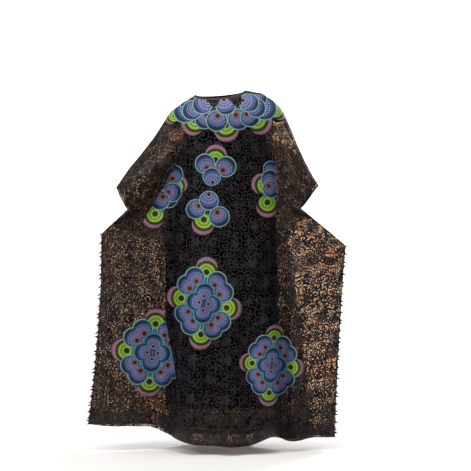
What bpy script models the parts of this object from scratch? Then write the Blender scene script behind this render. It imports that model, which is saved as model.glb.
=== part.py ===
"""Grand boubou robe: corded lace front and back cut in one with the sleeves, worn and held out.

Metres, +Z up, the front faces -Y. The origin is the middle of the neck opening on the shoulder line.
Every sheet is a wall through a grid of points: columns run from the overarm line down to the hem,
rows run from side to side. Half the room between the front and back sheets is worked out from a body
form, two sleeve tubes, the flat of the wings and tables of folds.
"""

import bpy
import bmesh
import numpy as np
from math import cos, pi, radians, sin

for old in list(bpy.data.objects):
    bpy.data.objects.remove(old, do_unlink=True)

# ---------------------------------------------------------------- cloth
LACE = 0.0018           # corded lace
LINING = 0.0010         # plain black lining
PRINT = 0.0012          # printed cotton, cut out and applied
BINDING = 0.0015        # folded strip round the neck
EDGING = 0.0024         # both selvedges and the pointed edging, side by side
SEAM = 0.0003           # room left at every seam
LINING_ROOM = 0.007     # how far the lining hangs inside the lace
LINING_SEAT = 0.0015    # and how far below the neck and shoulder line it is caught in

# Each cloth's colour and roughness.
LACE_BLACK = ((0.020, 0.016, 0.018), 0.8)
LINING_BLACK = ((0.010, 0.010, 0.012), 0.5)
BINDING_BLACK = ((0.020, 0.018, 0.020), 0.6)
PRINT_BLUE = ((0.110, 0.160, 0.480), 0.7)
SHARP_EDGE = 50         # degrees between faces that meet in a sharp edge

# ---------------------------------------------------------------- outline, seen from the front
# Overarm line, from the left cuff over both shoulders to the right cuff. The neck points bound the
# neck opening, and the line between them is where the shoulders would meet.
OVERARM = (
    # name,              x,      z
    ("cuff left",      -0.447, -0.409),
    ("forearm left",   -0.396, -0.331),
    ("elbow left",     -0.340, -0.262),
    ("arm left",       -0.288, -0.194),
    ("upper left",     -0.249, -0.133),
    ("shoulder left",  -0.215, -0.082),
    ("yoke left",      -0.163, -0.043),
    ("neck left",      -0.108, -0.009),
    ("neck right",      0.103,  0.009),
    ("yoke right",      0.176, -0.004),
    ("top right",       0.222, -0.033),
    ("shoulder right",  0.262, -0.072),
    ("upper right",     0.300, -0.155),
    ("arm right",       0.329, -0.228),
    ("elbow right",     0.361, -0.297),
    ("forearm right",   0.394, -0.360),
    ("cuff right",      0.420, -0.402),
)
# Side edges: open from the cuff's top to its foot, then sewn past the hand to the hem.
SIDE_LEFT = (
    # name,        share down,  x,      z
    ("cuff top",    0.000,    -0.447, -0.409),
    ("cuff foot",   0.060,    -0.396, -0.462),
    ("grip",        0.300,    -0.507, -0.572),
    ("hip",         0.460,    -0.510, -0.800),
    ("knee",        0.660,    -0.527, -1.050),
    ("calf",        0.840,    -0.546, -1.260),
    ("hem",         1.000,    -0.565, -1.424),
)
SIDE_RIGHT = (
    ("cuff top",    0.000,     0.420, -0.402),
    ("cuff foot",   0.060,     0.342, -0.456),
    ("grip",        0.300,     0.530, -0.622),
    ("hip",         0.460,     0.514, -0.830),
    ("knee",        0.660,     0.500, -1.070),
    ("calf",        0.840,     0.490, -1.285),
    ("hem",         1.000,     0.482, -1.476),
)
HEM = (
    # name,              x,      z
    ("corner left",    -0.565, -1.424),
    ("wing left",      -0.440, -1.425),
    ("rise left",      -0.318, -1.428),
    ("dip left",       -0.193, -1.474),
    ("front left",     -0.060, -1.491),
    ("front right",     0.110, -1.494),
    ("rise right",      0.215, -1.462),
    ("fold right",      0.290, -1.490),
    ("wing right",      0.390, -1.478),
    ("corner right",    0.482, -1.476),
)
PANEL_LENGTH = 1.49     # shoulder to hem
SCOOP_FRONT = 0.027     # how far the neckline drops in front of the shoulder line
SCOOP_BACK = 0.010      # and behind it
CUFF_SHARE = 0.060      # share of the length that is open at the cuff
EDGE_SLOPE = 1.2        # fall of the overarm line at a cuff, for each full width of cloth
EDGE_PULL = 6           # how fast the bends of a side edge die away across the cloth
EDGE_TURN = 0.30        # the rows level out within this share of the width from a side edge
BORDER_SHARE = 0.942    # share of the length where the hem border is sewn on

# ---------------------------------------------------------------- worn form
# Body form, a row for each ring: level, middle, half width, and depth of front and back.
BODY = (
    # name,       z,      middle, half width, front, back
    ("neck",     0.000,   0.012,   0.205,    0.125,  0.105),
    ("chest",   -0.220,   0.016,   0.205,    0.135,  0.115),
    ("waist",   -0.450,   0.018,   0.212,    0.140,  0.115),
    ("hip",     -0.680,   0.018,   0.220,    0.158,  0.155),
    ("thigh",   -0.900,   0.018,   0.224,    0.178,  0.172),
    ("knee",    -1.100,   0.020,   0.228,    0.196,  0.188),
    ("hem",     -1.500,   0.024,   0.236,    0.232,  0.225),
)
BODY_SQUARE = 2.2       # 2 is an ellipse, more is squarer
SHOULDER_ROUND = 0.150  # the cloth turns over the shoulder within this drop
# Sleeve tubes, a row for each end of each arm: how far round and how deep the cloth stands.
SLEEVES = (
    # name,             x,      z,     radius, depth
    ("shoulder left",  -0.160, -0.130, 0.075,  0.078),
    ("cuff left",      -0.421, -0.436, 0.036,  0.046),
    ("shoulder right",  0.205, -0.112, 0.075,  0.078),
    ("cuff right",      0.381, -0.429, 0.047,  0.050),
)
WING_ROOM = 0.034       # half the room between the sheets in the wings
WING_REACH = 0.110      # how soon that room opens behind an edge
BLEND = 0.034           # how softly body, sleeves and wings run into each other
LEAST_ROOM = 0.35       # troughs leave this share of the wings' room
SLEEVE_START = 0.35     # a sleeve's tube rises out of the body over this share of its length
SLEEVE_PAST = 1.20      # and goes on tapering this far past its cuff
FORWARD = 0.050         # how far forward the hands hold the side edges
FORWARD_FROM = 0.18     # from this far out of the middle
FORWARD_OVER = 0.34     # over this width
# Share of it at each level.
FORWARD_LEVELS = (
    # name,        z,     share
    ("shoulder",  0.00,   0.45),
    ("hands",    -0.58,   1.00),
    ("hem",      -1.45,   0.50),
)

# Folds of each sheet, a row for each: a line from its top to its foot, depth and half width.
# A positive depth is a trough, a negative one a ridge.
FRONT_FOLDS = (
    # name,                    x top,  z top,  x foot, z foot, depth,  half width
    ("column tuck left",      -0.218, -0.560, -0.212, -1.380,  0.014,  0.034),
    ("armpit drag left",      -0.200, -0.290, -0.345, -0.560,  0.018,  0.034),
    ("web edge left",         -0.520, -0.560, -0.240, -0.560, -0.012,  0.040),
    ("hand drag left",        -0.500, -0.600, -0.400, -0.900,  0.008,  0.044),
    ("wing fold left",        -0.330, -0.640, -0.345, -1.400, -0.012,  0.044),
    ("column trough right",    0.236, -0.330,  0.250, -1.420,  0.008,  0.034),
    ("pleat right",            0.296, -0.560,  0.322, -1.470, -0.026,  0.036),
    ("pleat shadow right",     0.366, -0.640,  0.386, -1.440,  0.010,  0.040),
    ("web edge right",         0.540, -0.600,  0.270, -0.560, -0.012,  0.040),
    ("hand drag right",        0.520, -0.660,  0.430, -0.960,  0.008,  0.044),
    ("waist trough",           0.180, -0.420,  0.186, -0.760,  0.014,  0.030),
    ("waist ridge",            0.214, -0.480,  0.132, -0.760, -0.014,  0.032),
    ("skirt fold left",       -0.090, -0.700, -0.132, -1.490, -0.024,  0.040),
    ("skirt trough middle",   -0.024, -0.760, -0.030, -1.490,  0.020,  0.034),
    ("skirt fold middle",      0.048, -0.720,  0.042, -1.490, -0.020,  0.036),
    ("skirt trough right",     0.112, -0.800,  0.114, -1.490,  0.020,  0.034),
    ("skirt fold right",       0.172, -0.820,  0.186, -1.490, -0.020,  0.034),
)
BACK_FOLDS = (
    ("column tuck left",      -0.216, -0.520, -0.216, -1.400,  0.012,  0.034),
    ("armpit drag left",      -0.200, -0.300, -0.440, -0.540,  0.012,  0.036),
    ("wing fold left",        -0.345, -0.660, -0.350, -1.400, -0.012,  0.044),
    ("column trough right",    0.246, -0.380,  0.258, -1.420,  0.010,  0.034),
    ("armpit drag right",      0.240, -0.300,  0.470, -0.580,  0.012,  0.036),
    ("wing fold right",        0.345, -0.680,  0.360, -1.440, -0.012,  0.044),
    ("yoke drop left",        -0.090, -0.260, -0.110, -1.490, -0.020,  0.042),
    ("yoke drop middle",       0.010, -0.300,  0.004, -1.490,  0.022,  0.038),
    ("yoke drop right",        0.110, -0.260,  0.120, -1.490, -0.022,  0.042),
    ("seat trough left",      -0.150, -0.760, -0.164, -1.490,  0.016,  0.034),
    ("seat trough right",      0.184, -0.780,  0.190, -1.490,  0.016,  0.034),
)
# Soft waves of the wings, which take both sheets with them: forward is negative.
WING_WAVES = (
    # name,             x top,  z top,  x foot, z foot, forward, half width
    ("left near",      -0.300, -0.620, -0.290, -1.460,  0.016,  0.056),
    ("left far",       -0.430, -0.600, -0.450, -1.460, -0.020,  0.056),
    ("left edge",      -0.520, -0.700, -0.560, -1.460,  0.018,  0.050),
    ("right near",      0.340, -0.640,  0.345, -1.490, -0.012,  0.052),
    ("right far",       0.440, -0.660,  0.420, -1.490,  0.020,  0.052),
    ("right edge",      0.510, -0.760,  0.480, -1.490, -0.014,  0.050),
)
FOLD_FADE = 0.30        # share of its length in which a fold starts
EDGE_FADE = 0.050       # folds die away this close to a sewn edge

# ---------------------------------------------------------------- grid
# Its columns, a row for each stretch of the overarm line: close over the body, wide in the wings.
STRETCHES = (
    # name,          share to, columns
    ("wing left",     0.300,    8),
    ("body left",     None,     5),
    ("neck",          None,     7),
    ("body right",    0.800,    9),
    ("wing right",    1.000,    6),
)
TOP_ROWS = (0.0, 0.005, 0.016, 0.032, 0.047, 0.060, 0.090, 0.130, 0.180, 0.240, 0.300)
SKIRT_ROWS = 12
BORDER_ROWS = 2
BINDING_ROWS = 1        # the neck binding is as wide as the first row

# ---------------------------------------------------------------- lining
# Its side edge: an armhole down to the underarm, then a seam to its own hem.
LINING_LEFT = (
    # name,        share down,  x,      z
    ("shoulder",    0.000,    -0.172, -0.056),
    ("armhole",     0.110,    -0.158, -0.180),
    ("underarm",    0.220,    -0.194, -0.320),
    ("hip",         0.480,    -0.238, -0.640),
    ("hem",         1.000,    -0.236, -1.305),
)
LINING_RIGHT = (
    ("shoulder",    0.000,     0.200, -0.026),
    ("armhole",     0.110,     0.190, -0.170),
    ("underarm",    0.220,     0.216, -0.315),
    ("hip",         0.480,     0.238, -0.640),
    ("hem",         1.000,     0.246, -1.305),
)
LINING_TURN = 0.075     # the lining turns in to its side seam within this width
LINING_DEPTH = 0.170
LINING_REACH = 0.032    # it bridges troughs of the lace this far to each side
LINING_ROWS = 14
LINING_CLOSE = 1.35     # its rows are closer near the shoulder
LINING_CORNER = 0.012   # no column stands nearer than this to its side edges, at the top
UNDERARM = 2            # row of its tables where the side seam starts

# ---------------------------------------------------------------- printed motifs
# A rosette: a ring of eight petals in four pairs, and a fan outside each gap between the pairs.
PETAL_ANGLES = (29, 61)     # degrees from the rosette's axis across
PETAL_RING = 0.62           # of the rosette's half size
PETAL_SIZE = 0.225
FAN_RING = 0.775
FAN_SIZE = 0.225
ROSETTES = (
    # name,                 x,      z,     half across, half up, droop, lean (degrees)
    ("rosette_centre",     -0.071, -0.897,  0.152,      0.194,   11.0,  5.0),
    ("rosette_lower_left", -0.292, -1.114,  0.166,      0.186,    6.0,  6.0),
    ("rosette_lower_right", 0.215, -1.161,  0.130,      0.170,    8.0,  5.5),
)
# Straight cuts, from point to point: the lower left rosette ends at the column's edge.
ROSETTE_CUTS = {"rosette_lower_left": (((-0.240, -0.960), (-0.190, -1.200)),)}
# Motifs set out circle by circle: fans and petals.
CHEST_MOTIF = (
    # name,             x,      z,     radius
    ("top fan",        -0.020, -0.274, 0.046),
    ("petal left",     -0.067, -0.309, 0.043),
    ("petal right",     0.022, -0.322, 0.045),
    ("upper fan",      -0.038, -0.364, 0.039),
    ("lower fan",      -0.050, -0.466, 0.042),
    ("low petal left", -0.106, -0.502, 0.043),
    ("low petal right", -0.006, -0.534, 0.045),
    ("foot fan",       -0.075, -0.566, 0.047),
)
CHEST_WAIST = (-0.043, -0.414)
CHEST_WAIST_HALF = 0.007
UPPER_LEFT_MOTIF = (
    ("petal top",      -0.200, -0.352, 0.042),
    ("petal middle",   -0.224, -0.452, 0.045),
    ("petal inner",    -0.206, -0.428, 0.042),
    ("petal low",      -0.262, -0.462, 0.044),
    ("fan side",       -0.176, -0.396, 0.036),
    ("fan foot",       -0.290, -0.538, 0.045),
)
UPPER_LEFT_MIDDLE = (-0.232, -0.428)
UPPER_LEFT_CUT = ((-0.335, -0.560), (-0.190, -0.305))
UPPER_RIGHT_MOTIF = (
    ("fan side",        0.172, -0.394, 0.044),
    ("petal top",       0.214, -0.330, 0.036),
    ("petal upper",     0.210, -0.372, 0.040),
    ("petal lower",     0.214, -0.416, 0.038),
    ("fan foot",        0.196, -0.492, 0.046),
)
UPPER_RIGHT_MIDDLE = (0.205, -0.405)
UPPER_RIGHT_CUT = ((0.236, -0.300), (0.240, -0.560))
# The yoke's outer edge, on both sheets.
YOKE_FRONT = (
    # name,                x,      z,     radius
    ("fan sleeve left",   -0.211, -0.108, 0.032),
    ("petal left",        -0.150, -0.082, 0.056),
    ("fan left",          -0.120, -0.142, 0.048),
    ("petal low left",    -0.069, -0.122, 0.043),
    ("petal middle left", -0.017, -0.129, 0.047),
    ("fan middle",         0.024, -0.168, 0.051),
    ("petal middle right", 0.075, -0.122, 0.047),
    ("petal low right",    0.124, -0.112, 0.043),
    ("fan right",          0.168, -0.134, 0.051),
    ("petal right",        0.186, -0.070, 0.056),
    ("fan sleeve right",   0.250, -0.084, 0.038),
)
YOKE_BACK = (
    ("fan sleeve left",   -0.211, -0.108, 0.032),
    ("petal left",        -0.150, -0.082, 0.056),
    ("fan left",          -0.110, -0.130, 0.048),
    ("petal middle left", -0.050, -0.112, 0.052),
    ("fan middle",         0.012, -0.150, 0.050),
    ("petal middle right", 0.076, -0.106, 0.052),
    ("fan right",          0.140, -0.124, 0.050),
    ("petal right",        0.190, -0.070, 0.056),
    ("fan sleeve right",   0.250, -0.084, 0.038),
)
YOKE_MIDDLE = (0.004, -0.004)
# Bare lace shows between the top fans of the yoke, under the neck binding.
YOKE_GAPS = (
    # name,     x,      z,     half width, half height
    ("left",   -0.028, -0.040, 0.021,      0.029),
    ("right",   0.068, -0.038, 0.021,      0.029),
)
YOKE_LEAST = 0.040      # the yoke reaches at least this far from its middle
YOKE_TOP = 0.100        # its neckline is cut up to this level
GAP_POINTS = 12
YOKE_CLEAR = 0.0015     # room between the yoke and the neck binding
LOBE_POINTS = 5         # steps round each lobe of a motif's outline
LOBE_SEARCH = 720       # directions in which the notches between lobes are looked for
CELLS_ROUND = 2         # cells of the sheet's grid taken along round a motif
CUTTER_REACH = 0.60     # how far a cutter stands out from the middle of the robe
CUTTER_BACK = 0.10      # and how far behind it

# ---------------------------------------------------------------- side edging
EDGING_OFFSET = 0.0014  # it starts outside the panels' sewn edge
EDGING_START = 0.006    # below the grip, as a share of the length
GRIP_ROW = 2            # of the side edge tables
EDGING_WIDTH = 0.006
EDGING_TUFTS = 26
TUFT_LENGTHS = (0.012, 0.007, 0.016, 0.009, 0.013, 0.006, 0.018, 0.008, 0.011)
TUFT_DROP = 0.35        # a tuft's point hangs this share of its pitch below its root


# ---------------------------------------------------------------- curves
def smooth(at, keys, values):
    """Values at the places asked for, on a smooth curve through the rows of a table."""
    keys = np.asarray(keys, float)
    values = np.asarray(values, float)
    at = np.clip(np.asarray(at, float), keys[0], keys[-1])
    rises = np.diff(values) / np.diff(keys)
    same = rises[:-1] * rises[1:] > 0
    mean = np.where(same, 2 * rises[:-1] * rises[1:] / np.where(same, rises[:-1] + rises[1:], 1), 0)
    slopes = np.concatenate([rises[:1], mean, rises[-1:]])
    k = np.clip(np.searchsorted(keys, at, side="right") - 1, 0, len(keys) - 2)
    width = keys[k + 1] - keys[k]
    u = (at - keys[k]) / width
    start = (1 + 2 * u) * (1 - u) ** 2 * values[k] + u * (1 - u) ** 2 * width * slopes[k]
    end = u ** 2 * (3 - 2 * u) * values[k + 1] + u ** 2 * (u - 1) * width * slopes[k + 1]
    return start + end


def column(table, place):
    """One named column of a table."""
    return np.array([row[place] for row in table], float)


def ease(u):
    """0 to 1 with soft ends."""
    u = np.clip(u, 0, 1)
    return u * u * (3 - 2 * u)


def near(line, x, z):
    """Distance from each place to a line of points."""
    best = np.full(np.shape(x), np.inf)
    for (ax, az), (bx, bz) in zip(line[:-1], line[1:]):
        dx, dz = bx - ax, bz - az
        u = np.clip(((x - ax) * dx + (z - az) * dz) / (dx * dx + dz * dz), 0, 1)
        best = np.minimum(best, np.hypot(x - ax - u * dx, z - az - u * dz))
    return best


# ---------------------------------------------------------------- outline
ARM_X, ARM_Z = column(OVERARM, 1), column(OVERARM, 2)
ARM_RUN = np.concatenate([[0], np.cumsum(np.hypot(np.diff(ARM_X), np.diff(ARM_Z)))])
ARM_RUN = ARM_RUN / ARM_RUN[-1]
NECK_LEFT = [row[0] for row in OVERARM].index("neck left")
NECK_RIGHT = NECK_LEFT + 1
OVERARM_LINE = list(zip(ARM_X, ARM_Z))
SEWN_LEFT = [(x, z) for _, share, x, z in SIDE_LEFT if share > 0]
SEWN_RIGHT = [(x, z) for _, share, x, z in SIDE_RIGHT if share > 0]


def columns():
    """Places of the grid's columns as shares of the overarm line, with one at each neck point."""
    neck_points = {"body left": ARM_RUN[NECK_LEFT], "neck": ARM_RUN[NECK_RIGHT]}
    places = [0.0]
    for name, to, count in STRETCHES:
        places.extend(np.linspace(places[-1], to or neck_points[name], count + 1)[1:])
    return np.array(places)


def overarm(share, scoop):
    """The top edge of a sheet: the overarm line with the neckline scooped out of it."""
    x = np.interp(share, ARM_RUN, ARM_X)
    z = np.interp(share, ARM_RUN, ARM_Z)
    low, high = ARM_RUN[NECK_LEFT], ARM_RUN[NECK_RIGHT]
    u = np.clip((share - low) / (high - low) * 2 - 1, -1, 1)
    return x, z - scoop * np.sqrt(np.maximum(0, 1 - u * u))


def outline(share, down, scoop):
    """Places in the outline, spread between the overarm line, the hem and the two side edges."""
    s, t = np.meshgrid(share, down)
    top_x, top_z = overarm(s, scoop)
    hem_x = HEM[0][1] + (HEM[-1][1] - HEM[0][1]) * s
    hem_z = smooth(hem_x, column(HEM, 1), column(HEM, 2))
    places = []
    for top, hem, place in ((top_x, hem_x, 2), (top_z, hem_z, 3)):
        left = np.interp(t, column(SIDE_LEFT, 1), column(SIDE_LEFT, place))
        right = np.interp(t, column(SIDE_RIGHT, 1), column(SIDE_RIGHT, place))
        left_chord = (1 - t) * SIDE_LEFT[0][place] + t * SIDE_LEFT[-1][place]
        right_chord = (1 - t) * SIDE_RIGHT[0][place] + t * SIDE_RIGHT[-1][place]
        between = (1 - t) * top + t * hem
        pull_left = (1 - s) ** EDGE_PULL * (left - left_chord)
        pull_right = s ** EDGE_PULL * (right - right_chord)
        places.append(between + pull_left + pull_right)
    level = EDGE_SLOPE * (1 - t) * ease(t / CUFF_SHARE)
    for off in (s, 1 - s):
        places[1] -= level * off * np.exp(-off / EDGE_TURN)
    return places


# ---------------------------------------------------------------- form
def pleats(table, x, z):
    """Sum of a table of folds at each place."""
    total = np.zeros(np.shape(x))
    for _, x_top, z_top, x_foot, z_foot, depth, half in table:
        dx, dz = x_foot - x_top, z_foot - z_top
        length = np.hypot(dx, dz)
        along = ((x - x_top) * dx + (z - z_top) * dz) / length ** 2
        across = ((x - x_top) * dz - (z - z_top) * dx) / length
        fade = ease(along / FOLD_FADE) * ease((1 + FOLD_FADE - along) / FOLD_FADE)
        total += depth * fade * np.exp(-(across / half) ** 2)
    return total


def sleeve(x, z, shoulder, cuff, rim):
    """Half depth of the cloth round one arm, by the distance in from the overarm line."""
    _, sx, sz, s_radius, s_depth = shoulder
    _, cx, cz, c_radius, c_depth = cuff
    dx, dz = cx - sx, cz - sz
    along = ((x - sx) * dx + (z - sz) * dz) / (dx * dx + dz * dz)
    u = np.clip(along, 0, SLEEVE_PAST)
    radius = s_radius + (c_radius - s_radius) * u
    depth = s_depth + (c_depth - s_depth) * u
    off = np.clip((rim - radius) / radius, -1, 1)
    return depth * np.sqrt(1 - off * off) * ease((along + SLEEVE_START) / SLEEVE_START)


def room(x, z, side):
    """Half the room between the sheets on one side of their seam: 0 in front, 1 behind."""
    depth = smooth(-z, -column(BODY, 1), column(BODY, 4 + side))
    middle = smooth(-z, -column(BODY, 1), column(BODY, 2))
    half = smooth(-z, -column(BODY, 1), column(BODY, 3))
    rim = near(OVERARM_LINE, x, z)
    sewn = np.minimum(near(SEWN_LEFT, x, z), near(SEWN_RIGHT, x, z))
    edge = np.minimum(rim, sewn)
    turn = 1 - np.clip(rim / SHOULDER_ROUND, 0, 1)
    across = np.clip(np.abs((x - middle) / half), 0, 1)
    body = depth * np.sqrt(1 - turn * turn) * (1 - across ** BODY_SQUARE) ** (1 / BODY_SQUARE)
    arms = sleeve(x, z, SLEEVES[0], SLEEVES[1], rim) + sleeve(x, z, SLEEVES[2], SLEEVES[3], rim)
    wing = WING_ROOM * (1 - np.exp(-edge / WING_REACH))
    soft = BLEND * np.clip(edge / EDGE_FADE, 0, 1)
    form = wing
    for other in (arms, body):
        form = 0.5 * (form + other + np.sqrt((form - other) ** 2 + soft ** 2))
    folds = pleats((FRONT_FOLDS, BACK_FOLDS)[side], x, z) * ease(edge / EDGE_FADE)
    return np.maximum(form - folds, LEAST_ROOM * wing)


def sway(x, z):
    """Where the seam between the sheets lies: the hands hold the wings forward, and they wave."""
    out = ease((np.abs(x - BODY[0][2]) - FORWARD_FROM) / FORWARD_OVER)
    held = smooth(-z, -column(FORWARD_LEVELS, 1), column(FORWARD_LEVELS, 2))
    return pleats(WING_WAVES, x, z) - FORWARD * out * held


def points(x, z, half, side):
    """The inner face of a sheet before it sways: half the room to one side of the seam."""
    toward = (-1, 1)[side]
    return np.stack([x, toward * (half + SEAM / 2), z], axis=-1)


def swayed(places):
    """Points moved with the sway of the whole robe at their place."""
    moved = np.array(places)
    moved[..., 1] += sway(moved[..., 0], moved[..., 2])
    return moved


def cell_triangles(rows, cols):
    """Corners of the two triangles in each cell of a grid."""
    for r in range(rows - 1):
        for c in range(cols - 1):
            a, b = r * cols + c, r * cols + c + 1
            d, e = a + cols, b + cols
            yield a, d, b
            yield b, d, e


def outward(grid, side):
    """Unit directions out of a sheet at its points, from the triangles round each."""
    rows, cols = grid.shape[:2]
    flat = grid.reshape(-1, 3)
    total = np.zeros_like(flat)
    for a, b, c in cell_triangles(rows, cols):
        normal = np.cross(flat[b] - flat[a], flat[c] - flat[a])
        for corner in (a, b, c):
            total[corner] += normal
    total /= np.linalg.norm(total, axis=1)[:, None]
    return (total * (1, -1)[side]).reshape(grid.shape)


# ---------------------------------------------------------------- pieces
def material(name, colour, roughness):
    """A cloth of one colour."""
    made = bpy.data.materials.new(name)
    made.use_nodes = True
    cloth = made.node_tree.nodes["Principled BSDF"]
    cloth.inputs["Base Color"].default_value = (*colour, 1)
    cloth.inputs["Roughness"].default_value = roughness
    cloth.inputs["Metallic"].default_value = 0
    return made


def keep(name, bm, cloth):
    """Makes the named piece from a mesh, with a material of its own."""
    mesh = bpy.data.meshes.new(name)
    bm.to_mesh(mesh)
    bm.free()
    piece = bpy.data.objects.new(name, mesh)
    bpy.context.scene.collection.objects.link(piece)
    mesh.materials.append(material(name + "_cloth", *cloth))
    return piece


def wall(grid, normals, low, high):
    """A closed wall between two layers of a sheet's points, both moved out along its normals."""
    rows, cols = grid.shape[:2]
    bm = bmesh.new()
    layers = []
    for reach in (low, high):
        places = swayed(grid + normals * reach).reshape(-1, 3)
        layers.append([bm.verts.new(place) for place in places])
    inner, outer = layers
    for a, b, c in cell_triangles(rows, cols):
        bm.faces.new((outer[a], outer[b], outer[c]))
        bm.faces.new((inner[a], inner[c], inner[b]))
    around = [c for c in range(cols)]
    around += [r * cols + cols - 1 for r in range(1, rows)]
    around += [(rows - 1) * cols + c for c in range(cols - 2, -1, -1)]
    around += [r * cols for r in range(rows - 2, 0, -1)]
    for a, b in zip(around, around[1:] + around[:1]):
        bm.faces.new((outer[a], outer[b], inner[a]))
        bm.faces.new((outer[b], inner[b], inner[a]))
    if bm.calc_volume(signed=True) < 0:
        bmesh.ops.reverse_faces(bm, faces=bm.faces)
    return bm


def round_shading(piece):
    """Soft across the cloth, sharp at the wall's edge."""
    piece.data.shade_smooth()
    piece.data.set_sharp_from_angle(angle=radians(SHARP_EDGE))


def edge_reach(middle, circles, angle, least, cuts):
    """How far a motif reaches from its middle in one direction."""
    ux, uz = cos(angle), sin(angle)
    reach = least
    for _, x, z, radius in circles:
        ox, oz = x - middle[0], z - middle[1]
        toward = ox * ux + oz * uz
        inside = radius ** 2 - (ox * ox + oz * oz - toward ** 2)
        if inside > 0:
            reach = max(reach, toward + inside ** 0.5)
    for (ax, az), (bx, bz) in cuts:
        nx, nz = bz - az, ax - bx
        facing = nx * ux + nz * uz
        away = nx * (ax - middle[0]) + nz * (az - middle[1])
        if facing * away > 0:
            reach = min(reach, away / facing)
    return reach


def scallops(middle, circles, least=0.0, cuts=()):
    """Outline of overlapping circles about a middle, with a point in each notch between them."""
    turns = [2 * pi * k / LOBE_SEARCH for k in range(LOBE_SEARCH)]
    reaches = [edge_reach(middle, circles, turn, least, cuts) for turn in turns]
    notches = [turn for k, turn in enumerate(turns)
               if reaches[k] < reaches[k - 1] and reaches[k] <= reaches[(k + 1) % LOBE_SEARCH]]
    edge = []
    for start, end in zip(notches, notches[1:] + [notches[0] + 2 * pi]):
        for k in range(LOBE_POINTS):
            turn = start + (end - start) * k / LOBE_POINTS
            reach = edge_reach(middle, circles, turn, least, cuts)
            edge.append((middle[0] + reach * cos(turn), middle[1] + reach * sin(turn)))
    return edge


def rosette_circles(x, z, across, up, droop, lean):
    """The fans and petals of a rosette that leans and droops with the cloth."""
    right = (across * cos(radians(droop)), -across * sin(radians(droop)))
    top = (up * sin(radians(lean)), up * cos(radians(lean)))
    size = (across + up) / 2
    circles = []
    for quarter in range(4):
        turns = [(90 * quarter + a, PETAL_RING, PETAL_SIZE) for a in PETAL_ANGLES]
        turns.append((90 * quarter, FAN_RING, FAN_SIZE))
        for degrees, ring, share in turns:
            u, v = ring * cos(radians(degrees)), ring * sin(radians(degrees))
            place_x = x + u * right[0] + v * top[0]
            place_z = z + u * right[1] + v * top[1]
            circles.append(("scallop", place_x, place_z, share * size))
    return circles


def cutter(name, edge, side):
    """A prism of an outline, standing through one sheet. It is a guide and no part of the robe."""
    bm = bmesh.new()
    toward = (-1, 1)[side]
    depths = (-toward * CUTTER_BACK, toward * CUTTER_REACH)
    ends = [[bm.verts.new((x, y, z)) for x, z in edge] for y in depths]
    bm.faces.new(ends[0])
    bm.faces.new(list(reversed(ends[1])))
    count = len(edge)
    for k in range(count):
        n = (k + 1) % count
        bm.faces.new((ends[0][n], ends[0][k], ends[1][k], ends[1][n]))
    bmesh.ops.recalc_face_normals(bm, faces=bm.faces)
    mesh = bpy.data.meshes.new(name)
    bm.to_mesh(mesh)
    bm.free()
    guide = bpy.data.objects.new(name, mesh)
    bpy.context.scene.collection.objects.link(guide)
    guide.hide_render = True
    guide.display_type = "WIRE"
    return guide


def cut_with(piece, guide, operation):
    """A Boolean that stays on its piece."""
    step = piece.modifiers.new(guide.name, "BOOLEAN")
    step.operation = operation
    step.solver = "EXACT"
    step.object = guide


def applied(name, sheet, edge, side, gaps=()):
    """A print piece: the sheet's points under its outline, moved out, cut to the outline."""
    grid, normals = sheet
    xs, zs = [p[0] for p in edge], [p[1] for p in edge]
    under = (grid[..., 0] > min(xs)) & (grid[..., 0] < max(xs))
    under &= (grid[..., 2] > min(zs)) & (grid[..., 2] < max(zs))
    rows, cols = np.nonzero(under)
    r0, r1 = max(rows.min() - CELLS_ROUND, 0), rows.max() + CELLS_ROUND + 1
    c0, c1 = max(cols.min() - CELLS_ROUND, 0), cols.max() + CELLS_ROUND + 1
    low = LACE + SEAM
    bm = wall(grid[r0:r1, c0:c1], normals[r0:r1, c0:c1], low, low + PRINT)
    piece = keep(name, bm, PRINT_BLUE)
    cut_with(piece, cutter(name + "_outline", edge, side), "INTERSECT")
    for number, gap in enumerate(gaps):
        cut_with(piece, cutter(f"{name}_gap_{number}", gap, side), "DIFFERENCE")
    round_shading(piece)
    return piece


# ---------------------------------------------------------------- front and back, with their borders
SKIRT_LEVELS = np.linspace(TOP_ROWS[-1], BORDER_SHARE, SKIRT_ROWS + 1)
BORDER_LEVELS = np.linspace(BORDER_SHARE + SEAM / PANEL_LENGTH, 1, BORDER_ROWS + 1)
DOWN = np.concatenate([TOP_ROWS, SKIRT_LEVELS[1:], BORDER_LEVELS])
BORDER_ROW = len(DOWN) - len(BORDER_LEVELS)
NECK_FIRST = STRETCHES[0][2] + STRETCHES[1][2]
NECK_LAST = NECK_FIRST + STRETCHES[2][2]
SHEETS = []
for side, label in enumerate(("front", "back")):
    x, z = outline(columns(), DOWN, (SCOOP_FRONT, SCOOP_BACK)[side])
    grid = points(x, z, room(x, z, side), side)
    normals = outward(grid, side)
    at_seam = (normals[BORDER_ROW - 1] + normals[BORDER_ROW]) / 2
    normals[BORDER_ROW - 1] = normals[BORDER_ROW] = at_seam
    SHEETS.append((grid, normals))
    panel = wall(grid[:BORDER_ROW], normals[:BORDER_ROW], 0, LACE)
    round_shading(keep(label, panel, LACE_BLACK))
    border = wall(grid[BORDER_ROW:], normals[BORDER_ROW:], 0, LACE)
    round_shading(keep(f"hem_border_{label}", border, LACE_BLACK))

# ---------------------------------------------------------------- neck binding
for label, (grid, normals) in zip(("front", "back"), SHEETS):
    strip = grid[:BINDING_ROWS + 1, NECK_FIRST:NECK_LAST + 1]
    facing = normals[:BINDING_ROWS + 1, NECK_FIRST:NECK_LAST + 1]
    low = LACE + SEAM
    bm = wall(strip, facing, low, low + BINDING)
    round_shading(keep(f"neck_binding_{label}", bm, BINDING_BLACK))

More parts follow.
